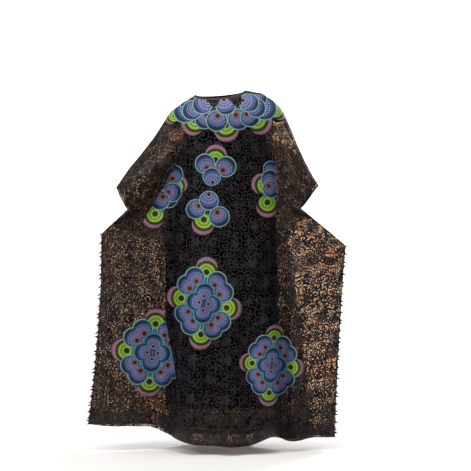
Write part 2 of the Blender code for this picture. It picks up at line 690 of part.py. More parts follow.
# ---------------------------------------------------------------- lining
for side, label in enumerate(("front", "back")):
    rim = SHEETS[side][0][0]
    left, right = LINING_LEFT[0][2], LINING_RIGHT[0][2]
    inside = (rim[:, 0] > left + LINING_CORNER) & (rim[:, 0] < right - LINING_CORNER)
    share = np.concatenate([[0], (rim[inside, 0] - left) / (right - left), [1]])
    rows = np.linspace(0, 1, LINING_ROWS + 1) ** LINING_CLOSE
    s, t = np.meshgrid(share, rows)
    edge_x = [smooth(t, column(table, 1), column(table, 2)) for table in (LINING_LEFT, LINING_RIGHT)]
    x = (1 - s) * edge_x[0] + s * edge_x[1]
    top_z = np.interp(x[0], rim[:, 0], rim[:, 2])
    z = (1 - t) * (top_z - LINING_SEAT) + t * LINING_LEFT[-1][3]
    beside = [room(x + step, z + LINING_ROOM, side) for step in (-LINING_REACH, 0, LINING_REACH)]
    half = np.min(beside, axis=0) - LINING_ROOM
    half[0] = np.maximum(np.interp(x[0], rim[:, 0], np.abs(rim[:, 1])) - LINING - 2 * SEAM, 0)
    seams = [[row[2:] for row in table[UNDERARM:]] for table in (LINING_LEFT, LINING_RIGHT)]
    to_seam = np.minimum(near(seams[0], x, z), near(seams[1], x, z))
    turn = 1 - np.clip(to_seam / LINING_TURN, 0, 1)
    half = np.maximum(np.minimum(half, LINING_DEPTH * np.sqrt(1 - turn * turn)), 0)
    grid = points(x, z, half, side)
    bm = wall(grid, outward(grid, side), 0, LINING)
    round_shading(keep(f"lining_{label}", bm, LINING_BLACK))

# ---------------------------------------------------------------- yoke
for side, (label, table) in enumerate((("front", YOKE_FRONT), ("back", YOKE_BACK))):
    edge = scallops(YOKE_MIDDLE, table, least=YOKE_LEAST)
    grid = SHEETS[side][0]
    under = grid[BINDING_ROWS, NECK_FIRST:NECK_LAST + 1]
    left, right = under[0, 0] - YOKE_CLEAR, under[-1, 0] + YOKE_CLEAR
    neckline = [(left, YOKE_TOP), (left, under[0, 2] - YOKE_CLEAR)]
    neckline += [(p[0], p[2] - YOKE_CLEAR) for p in under[1:-1]]
    neckline += [(right, under[-1, 2] - YOKE_CLEAR), (right, YOKE_TOP)]
    gaps = [neckline]
    if label == "front":
        for _, x, z, half_x, half_z in YOKE_GAPS:
            turns = [2 * pi * k / GAP_POINTS for k in range(GAP_POINTS)]
            gaps.append([(x + half_x * cos(a), z + half_z * sin(a)) for a in turns])
    applied(f"yoke_{label}", SHEETS[side], edge, side, gaps)

# ---------------------------------------------------------------- motifs on the front
MOTIFS = {
    "motif_chest": scallops(CHEST_WAIST, CHEST_MOTIF, least=CHEST_WAIST_HALF),
    "rosette_upper_left": scallops(UPPER_LEFT_MIDDLE, UPPER_LEFT_MOTIF, cuts=(UPPER_LEFT_CUT,)),
    "rosette_upper_right": scallops(UPPER_RIGHT_MIDDLE, UPPER_RIGHT_MOTIF, cuts=(UPPER_RIGHT_CUT,)),
}
for name, *sizes in ROSETTES:
    MOTIFS[name] = scallops(sizes[:2], rosette_circles(*sizes), cuts=ROSETTE_CUTS.get(name, ()))
for name, edge in MOTIFS.items():
    applied(name, SHEETS[0], edge, 0)

# ---------------------------------------------------------------- side edging
for label, edge_column, outwards in (("left", 0, -1), ("right", -1, 1)):
    line = np.array(SHEETS[0][0][:, edge_column])
    line[:, 1] = 0
    line = swayed(line)
    grip = SIDE_LEFT[GRIP_ROW][1]
    levels = np.linspace(grip + EDGING_START, 1, 2 * EDGING_TUFTS + 1)
    x, y, z = (np.interp(levels, DOWN, line[:, axis]) for axis in range(3))
    pitch = (z[0] - z[-1]) / EDGING_TUFTS
    bm = bmesh.new()
    rings = []
    for k, (px, py, pz) in enumerate(zip(x, y, z)):
        tuft = k % 2 == 1
        length = TUFT_LENGTHS[(k // 2) % len(TUFT_LENGTHS)] if tuft else 0
        root = px + outwards * EDGING_OFFSET
        tip = root + outwards * (EDGING_WIDTH + length)
        fall = TUFT_DROP * pitch if tuft else 0
        corners = []
        for across, level in ((root, pz), (tip, pz - fall)):
            for deep in (-EDGING / 2, EDGING / 2):
                corners.append(bm.verts.new((across, py + deep, level)))
        rings.append(corners)
    for upper, lower in zip(rings[:-1], rings[1:]):
        for a, b in ((0, 1), (1, 3), (3, 2), (2, 0)):
            bm.faces.new((upper[a], upper[b], lower[b]))
            bm.faces.new((upper[a], lower[b], lower[a]))
    bm.faces.new([rings[0][k] for k in (0, 2, 3, 1)])
    bm.faces.new([rings[-1][k] for k in (0, 1, 3, 2)])
    bmesh.ops.recalc_face_normals(bm, faces=bm.faces)
    keep(f"edging_{label}", bm, LACE_BLACK)
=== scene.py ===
"""Grand boubou robe in black corded lace with cut-out printed motifs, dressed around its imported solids.

Metres, +Z up, the front faces -Y. The origin is the middle of the neck opening on the shoulder line.
"""
from math import cos, pi, radians, sin

import bmesh
import bpy
import numpy as np
from mathutils import Matrix, Vector


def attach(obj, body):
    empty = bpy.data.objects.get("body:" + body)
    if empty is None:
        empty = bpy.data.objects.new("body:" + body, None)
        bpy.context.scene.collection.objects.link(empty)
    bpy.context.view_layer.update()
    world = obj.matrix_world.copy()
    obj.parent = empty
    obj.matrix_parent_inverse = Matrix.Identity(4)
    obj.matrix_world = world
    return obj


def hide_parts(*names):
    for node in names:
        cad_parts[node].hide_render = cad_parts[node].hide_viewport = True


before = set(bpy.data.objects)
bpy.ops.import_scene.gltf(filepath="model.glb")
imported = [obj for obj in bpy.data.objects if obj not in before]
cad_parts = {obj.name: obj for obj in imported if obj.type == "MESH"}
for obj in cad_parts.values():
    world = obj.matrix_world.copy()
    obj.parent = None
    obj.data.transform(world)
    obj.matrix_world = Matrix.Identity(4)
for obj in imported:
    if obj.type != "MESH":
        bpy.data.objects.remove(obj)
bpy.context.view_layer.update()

# ======== lace front and back
# Two panels of black corded lace, each as wide as the arms reach, sewn along shoulders and sides.
# Cords, curls and flowers are worked on a fine net, which lets light through where nothing backs it.

LACE = 0.0014           # thickness
SEAM = 0.0003           # room left at every seam
PANEL_WIDTH = 1.28      # flat, cuff to cuff
# Overarm line, from the left cuff over both shoulders to the right cuff. The neck points bound the
# neck opening, and the line between them is where the shoulders would meet.
OVERARM = (
    # name,              x,      z
    ("cuff left",      -0.447, -0.409),
    ("forearm left",   -0.396, -0.331),
    ("elbow left",     -0.340, -0.262),
    ("arm left",       -0.288, -0.194),
    ("upper left",     -0.249, -0.133),
    ("shoulder left",  -0.215, -0.082),
    ("yoke left",      -0.163, -0.043),
    ("neck left",      -0.108, -0.009),
    ("neck right",      0.103,  0.009),
    ("yoke right",      0.176, -0.004),
    ("top right",       0.222, -0.033),
    ("shoulder right",  0.262, -0.072),
    ("upper right",     0.300, -0.155),
    ("arm right",       0.329, -0.228),
    ("elbow right",     0.361, -0.297),
    ("forearm right",   0.394, -0.360),
    ("cuff right",      0.420, -0.402),
)
# Side edges: open from the cuff's top to its foot, then sewn past the hand to the hem.
SIDE_LEFT = (
    # name,        share down,  x,      z
    ("cuff top",    0.000,    -0.447, -0.409),
    ("cuff foot",   0.060,    -0.396, -0.462),
    ("grip",        0.300,    -0.507, -0.572),
    ("hip",         0.460,    -0.510, -0.800),
    ("knee",        0.660,    -0.527, -1.050),
    ("calf",        0.840,    -0.546, -1.260),
    ("hem",         1.000,    -0.565, -1.424),
)
SIDE_RIGHT = (
    ("cuff top",    0.000,     0.420, -0.402),
    ("cuff foot",   0.060,     0.342, -0.456),
    ("grip",        0.300,     0.530, -0.622),
    ("hip",         0.460,     0.514, -0.830),
    ("knee",        0.660,     0.500, -1.070),
    ("calf",        0.840,     0.490, -1.285),
    ("hem",         1.000,     0.482, -1.476),
)
HEM = (
    # name,              x,      z
    ("corner left",    -0.565, -1.424),
    ("wing left",      -0.440, -1.425),
    ("rise left",      -0.318, -1.428),
    ("dip left",       -0.193, -1.474),
    ("front left",     -0.060, -1.491),
    ("front right",     0.110, -1.494),
    ("rise right",      0.215, -1.462),
    ("fold right",      0.290, -1.490),
    ("wing right",      0.390, -1.478),
    ("corner right",    0.482, -1.476),
)
PANEL_LENGTH = 1.49     # shoulder to hem
SCOOPS = (0.027, 0.010)         # how far the neckline drops below the shoulder line, front and back
CUFF_SHARE = 0.060      # share of the length that is open at the cuff
EDGE_SLOPE = 1.2        # fall of the overarm line at a cuff, for each full width of cloth
EDGE_PULL = 6           # how fast the bends of a side edge die away across the cloth
EDGE_TURN = 0.30        # the rows level out within this share of the width from a side edge
BORDER_SHARE = 0.942    # share of the length where the hem border is sewn on

# Body form, a row for each ring: level, middle, half width, and depth of front and back.
BODY = (
    # name,       z,      middle, half width, front, back
    ("neck",     0.000,   0.012,   0.205,    0.125,  0.105),
    ("chest",   -0.220,   0.016,   0.205,    0.135,  0.115),
    ("waist",   -0.450,   0.018,   0.212,    0.140,  0.115),
    ("hip",     -0.680,   0.018,   0.220,    0.158,  0.155),
    ("thigh",   -0.900,   0.018,   0.224,    0.178,  0.172),
    ("knee",    -1.100,   0.020,   0.228,    0.196,  0.188),
    ("hem",     -1.500,   0.024,   0.236,    0.232,  0.225),
)
BODY_SQUARE = 2.2       # 2 is an ellipse, more is squarer
SHOULDER_ROUND = 0.150  # the cloth turns over the shoulder within this drop
# Sleeve tubes, a row for each end of each arm: how far round and how deep the cloth stands.
SLEEVES = (
    # name,             x,      z,     radius, depth
    ("shoulder left",  -0.160, -0.130, 0.075,  0.078),
    ("cuff left",      -0.421, -0.436, 0.036,  0.046),
    ("shoulder right",  0.205, -0.112, 0.075,  0.078),
    ("cuff right",      0.381, -0.429, 0.047,  0.050),
)
WING_ROOM = 0.034       # half the room between the sheets in the wings
WING_REACH = 0.110      # how soon that room opens behind an edge
BLEND = 0.034           # how softly body, sleeves and wings run into each other
LEAST_ROOM = 0.35       # troughs leave this share of the wings' room
SLEEVE_START = 0.35     # a sleeve's tube rises out of the body over this share of its length
SLEEVE_PAST = 1.20      # and goes on tapering this far past its cuff
FORWARD = 0.050         # how far forward the hands hold the side edges
FORWARD_FROM = 0.18     # from this far out of the middle
FORWARD_OVER = 0.34     # over this width
# Share of it at each level.
FORWARD_LEVELS = (
    # name,        z,     share
    ("shoulder",  0.00,   0.45),
    ("hands",    -0.58,   1.00),
    ("hem",      -1.45,   0.50),
)
FRONT, BACK = 0, 1
SIDES = ((FRONT, "front"), (BACK, "back"))
OUT = (-1, 1)           # which way along y each side faces
# Folds of each panel, a row for each: a line from its top to its foot, depth and half width.
# A positive depth is a trough, a negative one a ridge. The main folds come first, then creases.
FRONT_FOLDS = (
    # name,                    x top,  z top,  x foot, z foot, depth,  half width
    ("column tuck left",      -0.218, -0.560, -0.212, -1.380,  0.014,  0.034),
    ("armpit drag left",      -0.200, -0.290, -0.345, -0.560,  0.018,  0.034),
    ("web edge left",         -0.520, -0.560, -0.240, -0.560, -0.012,  0.040),
    ("hand drag left",        -0.500, -0.600, -0.400, -0.900,  0.008,  0.044),
    ("wing fold left",        -0.330, -0.640, -0.345, -1.400, -0.012,  0.044),
    ("column trough right",    0.236, -0.330,  0.250, -1.420,  0.008,  0.034),
    ("pleat right",            0.296, -0.560,  0.322, -1.470, -0.026,  0.036),
    ("pleat shadow right",     0.366, -0.640,  0.386, -1.440,  0.010,  0.040),
    ("web edge right",         0.540, -0.600,  0.270, -0.560, -0.012,  0.040),
    ("hand drag right",        0.520, -0.660,  0.430, -0.960,  0.008,  0.044),
    ("waist trough",           0.180, -0.420,  0.186, -0.760,  0.014,  0.030),
    ("waist ridge",            0.214, -0.480,  0.132, -0.760, -0.014,  0.032),
    ("skirt fold left",       -0.090, -0.700, -0.132, -1.490, -0.024,  0.040),
    ("skirt trough middle",   -0.024, -0.760, -0.030, -1.490,  0.020,  0.034),
    ("skirt fold middle",      0.048, -0.720,  0.042, -1.490, -0.020,  0.036),
    ("skirt trough right",     0.112, -0.800,  0.114, -1.490,  0.020,  0.034),
    ("skirt fold right",       0.172, -0.820,  0.186, -1.490, -0.020,  0.034),
    ("drag to left hand a",   -0.485, -0.578, -0.250, -0.470,  0.007,  0.012),
    ("drag to left hand b",   -0.480, -0.590, -0.235, -0.540, -0.008,  0.014),
    ("drag to left hand c",   -0.480, -0.600, -0.260, -0.640,  0.007,  0.013),
    ("drag to left hand d",   -0.485, -0.612, -0.330, -0.760, -0.007,  0.014),
    ("drag to left hand e",   -0.490, -0.620, -0.410, -0.860,  0.006,  0.012),
    ("under left arm a",      -0.215, -0.300, -0.400, -0.500, -0.008,  0.011),
    ("under left arm b",      -0.225, -0.370, -0.360, -0.520,  0.008,  0.010),
    ("left elbow a",          -0.300, -0.215, -0.262, -0.330,  0.006,  0.010),
    ("left elbow b",          -0.345, -0.275, -0.298, -0.372, -0.005,  0.010),
    ("left cuff crease",      -0.400, -0.350, -0.352, -0.430,  0.005,  0.009),
    ("drag to right hand a",   0.505, -0.640,  0.290, -0.500,  0.007,  0.012),
    ("drag to right hand b",   0.500, -0.650,  0.275, -0.590, -0.008,  0.014),
    ("drag to right hand c",   0.500, -0.662,  0.300, -0.700,  0.007,  0.013),
    ("drag to right hand d",   0.505, -0.672,  0.380, -0.820, -0.007,  0.014),
    ("under right arm a",      0.232, -0.300,  0.355, -0.470, -0.009,  0.011),
    ("under right arm b",      0.240, -0.380,  0.345, -0.540,  0.008,  0.010),
    ("right elbow a",          0.345, -0.250,  0.290, -0.340,  0.006,  0.010),
    ("right elbow b",          0.372, -0.315,  0.318, -0.392, -0.005,  0.010),
    ("right cuff crease",      0.398, -0.368,  0.348, -0.428,  0.005,  0.009),
    ("grey ridge upper",       0.236, -0.400,  0.262, -0.560, -0.008,  0.013),
    ("grey ridge lower",       0.214, -0.540,  0.140, -0.760, -0.010,  0.014),
    ("dark trough",            0.222, -0.560,  0.214, -0.700,  0.010,  0.012),
    ("waist crease a",        -0.120, -0.560, -0.020, -0.640,  0.004,  0.011),
    ("waist crease b",         0.030, -0.600,  0.150, -0.560,  0.005,  0.012),
    ("bust crease left",      -0.140, -0.210, -0.180, -0.360,  0.005,  0.012),
    ("bust crease right",      0.150, -0.210,  0.196, -0.360,  0.006,  0.012),
    ("skirt crease a",        -0.150, -0.760, -0.168, -1.280, -0.006,  0.013),
    ("skirt crease b",        -0.060, -1.060, -0.076, -1.490,  0.006,  0.014),
    ("skirt crease c",         0.010, -0.940,  0.008, -1.490,  0.005,  0.012),
    ("skirt crease d",         0.080, -1.120,  0.078, -1.490, -0.006,  0.013),
    ("skirt crease e",         0.142, -0.980,  0.150, -1.480,  0.006,  0.013),
    ("skirt crease f",         0.206, -0.900,  0.222, -1.480, -0.007,  0.013),
    ("right wing crease a",    0.276, -0.740,  0.286, -1.440,  0.008,  0.013),
    ("right wing crease b",    0.424, -0.800,  0.418, -1.440,  0.004,  0.014),
    ("left wing crease a",    -0.262, -0.700, -0.266, -1.400,  0.005,  0.014),
    ("left wing crease b",    -0.402, -0.820, -0.418, -1.400,  0.004,  0.014),
)
BACK_FOLDS = (
    ("column tuck left",      -0.216, -0.520, -0.216, -1.400,  0.012,  0.034),
    ("armpit drag left",      -0.200, -0.300, -0.440, -0.540,  0.012,  0.036),
    ("wing fold left",        -0.345, -0.660, -0.350, -1.400, -0.012,  0.044),
    ("column trough right",    0.246, -0.380,  0.258, -1.420,  0.010,  0.034),
    ("armpit drag right",      0.240, -0.300,  0.470, -0.580,  0.012,  0.036),
    ("wing fold right",        0.345, -0.680,  0.360, -1.440, -0.012,  0.044),
    ("yoke drop left",        -0.090, -0.260, -0.110, -1.490, -0.020,  0.042),
    ("yoke drop middle",       0.010, -0.300,  0.004, -1.490,  0.022,  0.038),
    ("yoke drop right",        0.110, -0.260,  0.120, -1.490, -0.022,  0.042),
    ("seat trough left",      -0.150, -0.760, -0.164, -1.490,  0.016,  0.034),
    ("seat trough right",      0.184, -0.780,  0.190, -1.490,  0.016,  0.034),
    ("drag to left hand a",   -0.480, -0.584, -0.250, -0.500,  0.007,  0.013),
    ("drag to left hand b",   -0.480, -0.600, -0.280, -0.660, -0.007,  0.014),
    ("drag to left hand c",   -0.488, -0.616, -0.380, -0.840,  0.006,  0.013),
    ("under left arm",        -0.220, -0.330, -0.390, -0.500, -0.008,  0.012),
    ("left elbow",            -0.320, -0.240, -0.280, -0.350,  0.006,  0.011),
    ("drag to right hand a",   0.500, -0.646,  0.285, -0.540,  0.007,  0.013),
    ("drag to right hand b",   0.500, -0.664,  0.320, -0.740, -0.007,  0.014),
    ("drag to right hand c",   0.506, -0.676,  0.420, -0.880,  0.006,  0.013),
    ("under right arm",        0.238, -0.330,  0.352, -0.500, -0.008,  0.012),
    ("right elbow",            0.356, -0.280,  0.304, -0.366,  0.006,  0.011),
    ("shoulder blade left",   -0.120, -0.200, -0.170, -0.420,  0.005,  0.013),
    ("shoulder blade right",   0.140, -0.200,  0.186, -0.420,  0.005,  0.013),
    ("back crease a",         -0.050, -0.520, -0.056, -1.490,  0.006,  0.014),
    ("back crease b",          0.060, -0.640,  0.058, -1.490, -0.006,  0.013),
    ("back crease c",         -0.140, -0.640, -0.150, -1.300, -0.006,  0.014),
    ("back crease d",          0.160, -0.560,  0.158, -1.490,  0.007,  0.014),
    ("back crease e",          0.214, -0.720,  0.222, -1.460, -0.006,  0.013),
    ("back crease f",          0.002, -1.000, -0.002, -1.490, -0.005,  0.012),
    ("left wing crease",      -0.290, -0.720, -0.296, -1.400,  0.006,  0.014),
    ("right wing crease",      0.300, -0.720,  0.310, -1.440,  0.006,  0.014),
)
# Soft waves of the wings, which take both sheets with them: forward is negative.
WING_WAVES = (
    # name,             x top,  z top,  x foot, z foot, forward, half width
    ("left near",      -0.300, -0.620, -0.290, -1.460,  0.016,  0.056),
    ("left far",       -0.430, -0.600, -0.450, -1.460, -0.020,  0.056),
    ("left edge",      -0.520, -0.700, -0.560, -1.460,  0.018,  0.050),
    ("right near",      0.340, -0.640,  0.345, -1.490, -0.012,  0.052),
    ("right far",       0.440, -0.660,  0.420, -1.490,  0.020,  0.052),
    ("right edge",      0.510, -0.760,  0.480, -1.490, -0.014,  0.050),
)
FOLD_FADE = 0.30        # share of its length in which a fold starts
EDGE_FADE = 0.050       # folds die away this close to a sewn edge
# Painted shade under the arms and beside the body: between these lines and the lining, the light that
# passes the front is darkened, a row for each height.
PAINTED_SHADE_ZONES = (
    # z,      left x,  right x
    (-0.150, -0.150,   0.190),
    (-0.220, -0.205,   0.250),
    (-0.270, -0.245,   0.322),
    (-0.320, -0.290,   0.350),
    (-0.430, -0.345,   0.400),
    (-0.500, -0.470,   0.430),
    (-0.560, -0.500,   0.330),
    (-0.600, -0.400,   0.286),
    (-0.645, -0.262,   0.290),
    (-0.800, -0.250,   0.316),
    (-0.980, -0.246,   0.340),
    (-1.320, -0.240,   0.376),
    (-1.500, -0.240,   0.394),
)
PAINTED_SHADE_EDGE = (0.030, 0.008)    # left and right, over which the painted shade starts
PAINTED_SHADE_LEFT_WING = 0.28              # painted shade over the whole left wing, at this share
SLOPE_STEP = 0.0015     # how far apart a surface's slope is measured


def smooth(at, keys, values):
    """Values at the places asked for, on a smooth curve through the rows of a table."""
    keys = np.asarray(keys, float)
    values = np.asarray(values, float)
    at = np.clip(np.asarray(at, float), keys[0], keys[-1])
    rises = np.diff(values) / np.diff(keys)
    same = rises[:-1] * rises[1:] > 0
    mean = np.where(same, 2 * rises[:-1] * rises[1:] / np.where(same, rises[:-1] + rises[1:], 1), 0)
    slopes = np.concatenate([rises[:1], mean, rises[-1:]])
    k = np.clip(np.searchsorted(keys, at, side="right") - 1, 0, len(keys) - 2)
    width = keys[k + 1] - keys[k]
    u = (at - keys[k]) / width
    start = (1 + 2 * u) * (1 - u) ** 2 * values[k] + u * (1 - u) ** 2 * width * slopes[k]
    end = u ** 2 * (3 - 2 * u) * values[k + 1] + u ** 2 * (u - 1) * width * slopes[k + 1]
    return start + end


def column(table, place):
    """One named column of a table."""
    return np.array([row[place] for row in table], float)


def ease(u):
    """0 to 1 with soft ends."""
    u = np.clip(u, 0, 1)
    return u * u * (3 - 2 * u)


def near(line, x, z):
    """Distance from each place to a line of points."""
    best = np.full(np.shape(x), np.inf)
    for (ax, az), (bx, bz) in zip(line[:-1], line[1:]):
        dx, dz = bx - ax, bz - az
        u = np.clip(((x - ax) * dx + (z - az) * dz) / (dx * dx + dz * dz), 0, 1)
        best = np.minimum(best, np.hypot(x - ax - u * dx, z - az - u * dz))
    return best

ARM_X, ARM_Z = column(OVERARM, 1), column(OVERARM, 2)
ARM_RUN = np.concatenate([[0], np.cumsum(np.hypot(np.diff(ARM_X), np.diff(ARM_Z)))])
ARM_RUN = ARM_RUN / ARM_RUN[-1]
NECK_LEFT = [row[0] for row in OVERARM].index("neck left")
NECK_RIGHT = NECK_LEFT + 1
OVERARM_LINE = list(zip(ARM_X, ARM_Z))
SEWN_LEFT = [(x, z) for _, share, x, z in SIDE_LEFT if share > 0]
SEWN_RIGHT = [(x, z) for _, share, x, z in SIDE_RIGHT if share > 0]

def overarm(share, side):
    """The top edge of a sheet: the overarm line with the neckline scooped out of it."""
    x = np.interp(share, ARM_RUN, ARM_X)
    z = np.interp(share, ARM_RUN, ARM_Z)
    low, high = ARM_RUN[NECK_LEFT], ARM_RUN[NECK_RIGHT]
    u = np.clip((share - low) / (high - low) * 2 - 1, -1, 1)
    return x, z - SCOOPS[side] * np.sqrt(np.maximum(0, 1 - u * u))

def outline(s, t, side):
    """Places in the outline, spread between the overarm line, the hem and the two side edges."""
    top_x, top_z = overarm(s, side)
    hem_x = HEM[0][1] + (HEM[-1][1] - HEM[0][1]) * s
    hem_z = smooth(hem_x, column(HEM, 1), column(HEM, 2))
    places = []
    for top, hem, place in ((top_x, hem_x, 2), (top_z, hem_z, 3)):
        spread = (1 - t) * top + t * hem
        for edge, off in ((SIDE_LEFT, 1 - s), (SIDE_RIGHT, s)):
            bend = np.interp(t, column(edge, 1), column(edge, place))
            chord = (1 - t) * edge[0][place] + t * edge[-1][place]
            spread = spread + off ** EDGE_PULL * (bend - chord)
        places.append(spread)
    level = EDGE_SLOPE * (1 - t) * ease(t / CUFF_SHARE)
    for off in (s, 1 - s):
        places[1] -= level * off * np.exp(-off / EDGE_TURN)
    return places


def pleats(table, x, z):
    """Sum of a table of folds at each place."""
    total = np.zeros(np.shape(x))
    for _, x_top, z_top, x_foot, z_foot, depth, half in table:
        dx, dz = x_foot - x_top, z_foot - z_top
        length = np.hypot(dx, dz)
        along = ((x - x_top) * dx + (z - z_top) * dz) / length ** 2
        across = ((x - x_top) * dz - (z - z_top) * dx) / length
        fade = ease(along / FOLD_FADE) * ease((1 + FOLD_FADE - along) / FOLD_FADE)
        total += depth * fade * np.exp(-(across / half) ** 2)
    return total


def sleeve(x, z, shoulder, cuff, rim):
    """Half depth of the cloth round one arm, by the distance in from the overarm line."""
    _, sx, sz, s_radius, s_depth = shoulder
    _, cx, cz, c_radius, c_depth = cuff
    dx, dz = cx - sx, cz - sz
    along = ((x - sx) * dx + (z - sz) * dz) / (dx * dx + dz * dz)
    u = np.clip(along, 0, SLEEVE_PAST)
    radius = s_radius + (c_radius - s_radius) * u
    depth = s_depth + (c_depth - s_depth) * u
    off = np.clip((rim - radius) / radius, -1, 1)
    return depth * np.sqrt(1 - off * off) * ease((along + SLEEVE_START) / SLEEVE_START)


def room(x, z, side):
    """Half the room between the sheets on one side of their seam: 0 in front, 1 behind."""
    middle, half, depth = (smooth(-z, -column(BODY, 1), column(BODY, k)) for k in (2, 3, 4 + side))
    rim = near(OVERARM_LINE, x, z)
    edge = np.min([rim, near(SEWN_LEFT, x, z), near(SEWN_RIGHT, x, z)], axis=0)
    turn = 1 - np.clip(rim / SHOULDER_ROUND, 0, 1)
    across = np.clip(np.abs((x - middle) / half), 0, 1)
    body = depth * np.sqrt(1 - turn * turn) * (1 - across ** BODY_SQUARE) ** (1 / BODY_SQUARE)
    arms = sleeve(x, z, *SLEEVES[:2], rim) + sleeve(x, z, *SLEEVES[2:], rim)
    form = wing = WING_ROOM * (1 - np.exp(-edge / WING_REACH))
    soft = BLEND * np.clip(edge / EDGE_FADE, 0, 1)
    for other in (arms, body):
        form = 0.5 * (form + other + np.sqrt((form - other) ** 2 + soft ** 2))
    folds = pleats((FRONT_FOLDS, BACK_FOLDS)[side], x, z) * ease(edge / EDGE_FADE)
    return np.maximum(form - folds, LEAST_ROOM * wing)


def sway(x, z):
    """Where the seam between the sheets lies: the hands hold the wings forward, and they wave."""
    out = ease((np.abs(x - BODY[0][2]) - FORWARD_FROM) / FORWARD_OVER)
    held = smooth(-z, -column(FORWARD_LEVELS, 1), column(FORWARD_LEVELS, 2))
    return pleats(WING_WAVES, x, z) - FORWARD * out * held

def drape(x, z, side, lift=0.0):
    """Points on a panel's inner face, moved out along its slope by a lift, with the robe's sway."""
    here = room(x, z, side)
    slope_x = (room(x + SLOPE_STEP, z, side) - room(x - SLOPE_STEP, z, side)) / (2 * SLOPE_STEP)
    slope_z = (here - room(x, z - SLOPE_STEP, side)) / SLOPE_STEP
    out = np.stack([-slope_x, np.full(x.shape, float(OUT[side])), -slope_z], axis=-1)
    out /= np.linalg.norm(out, axis=-1)[..., None]
    spots = np.stack([x, OUT[side] * (here + SEAM / 2), z], axis=-1) + out * np.asarray(lift)[..., None]
    spots[..., 1] += sway(spots[..., 0], spots[..., 2])
    return spots


BACK_SHIFT = (0.0415, 0.041)    # the back's pattern runs off the front's toward the left edge


def finished(bm, mesh, finish):
    """An object of the scene from a worked mesh, shaded smooth, in its finish."""
    bm.to_mesh(mesh)
    bm.free()
    mesh.shade_smooth()
    mesh.materials.append(finish)
    piece = bpy.data.objects.new(mesh.name, mesh)
    bpy.context.scene.collection.objects.link(piece)
    return piece


def cloth(name, finish, place, cut, thickness, side, across, down, pace=1.0, up=0):
    """A sheet of cloth: a flat grid, so many faces across and down, with its points put in place.

    Its UV map is in metres along the cloth, from the middle line and up from the foot. A pace over
    1 sets its rows closer together at the top. Its face is turned outward, and up by a share.
    """
    bm = bmesh.new()
    bm.loops.layers.uv.new("cut")
    bmesh.ops.create_grid(bm, x_segments=across, y_segments=down, size=0.5, calc_uvs=True)
    for vert in bm.verts:
        vert.co += Vector((0.5, 0.5, 0))
    mesh = bpy.data.meshes.new(name)
    bm.to_mesh(mesh)
    flat = np.empty(len(mesh.vertices) * 3)
    mesh.vertices.foreach_get("co", flat)
    u, v = flat[0::3], 1 - flat[1::3]
    placed = place(u, np.clip(v, 0, 1) ** pace)
    mesh.vertices.foreach_set("co", placed.ravel())
    corners = np.empty(len(mesh.loops), int)
    mesh.loops.foreach_get("vertex_index", corners)
    rows, columns = np.rint(v * down).astype(int), np.rint(u * across).astype(int)
    grid = np.empty((down + 1, across + 1, 3))
    grid[rows, columns] = placed
    wide = np.cumsum(np.linalg.norm(np.diff(grid, axis=1, prepend=grid[:, :1]), axis=2), axis=1)
    long = np.cumsum(np.linalg.norm(np.diff(grid, axis=0, prepend=grid[:1]), axis=2), axis=0)
    wide += cut[0] / 2 - wide[:, across // 2][:, None]
    long += cut[1] - long[-1]
    cut_at = np.stack([wide[rows, columns], long[rows, columns]], axis=-1)[corners]
    if side == BACK:
        cut_at += BACK_SHIFT * ease(1 - 2 * cut_at[:, :1] / cut[0])
    mesh.uv_layers["cut"].uv.foreach_set("vector", cut_at.ravel())
    bm.clear()
    bm.from_mesh(mesh)
    bmesh.ops.remove_doubles(bm, verts=bm.verts, dist=0.00001)
    bm.normal_update()
    facing = sum((face.normal * face.calc_area() for face in bm.faces), Vector())
    if facing.dot(Vector((0, OUT[side], up))) < 0:
        bmesh.ops.reverse_faces(bm, faces=bm.faces)
    piece = finished(bm, mesh, finish)
    step = piece.modifiers.new("thickness", "SOLIDIFY")
    step.thickness = thickness
    step.offset = 1
    return piece


def linear(code):
    """An sRGB hex colour as linear red, green, blue and alpha."""
    parts = [int(code[k:k + 2], 16) / 255 for k in (1, 3, 5)]
    return (*[c / 12.92 if c <= 0.04045 else ((c + 0.055) / 1.055) ** 2.4 for c in parts], 1)


def add(tree, kind, inputs=(), out=0, stops=(), **settings):
    """Adds a node with its settings, fills or links its inputs, and gives back one output.

    Stops are the hard-edged bands of a colour ramp. Colours are given as sRGB hex.
    """
    made = tree.nodes.new("ShaderNode" + kind)
    for key, value in settings.items():
        setattr(made, key, value)
    for k, (at, colour) in enumerate(stops):
        if k == len(made.color_ramp.elements):
            made.color_ramp.elements.new(1)
        made.color_ramp.elements[k].position = at
        made.color_ramp.elements[k].color = linear(colour)
    if stops:
        made.color_ramp.interpolation = "CONSTANT"
    for place, value in inputs.items() if isinstance(inputs, dict) else enumerate(inputs):
        if isinstance(value, bpy.types.NodeSocket):
            tree.links.new(value, made.inputs[place])
        else:
            made.inputs[place].default_value = linear(value) if isinstance(value, str) else value
    return made.outputs[out] if made.outputs else made


def fresh(name):
    """A new material with an empty tree, and that tree."""
    made = bpy.data.materials.new(name)
    made.use_nodes = True
    made.node_tree.nodes.clear()
    return made, made.node_tree


# Guipure-like corded lace: matt polyester cord, nearly black, with a dull grey light on its ridges.
CORD, CORD_LIGHT, CORD_SHEEN = "#0E0B0E", "#221D22", "#A79DB0"
CORD_GREY = "#29252B"   # the flowers are worked in a greyer cord
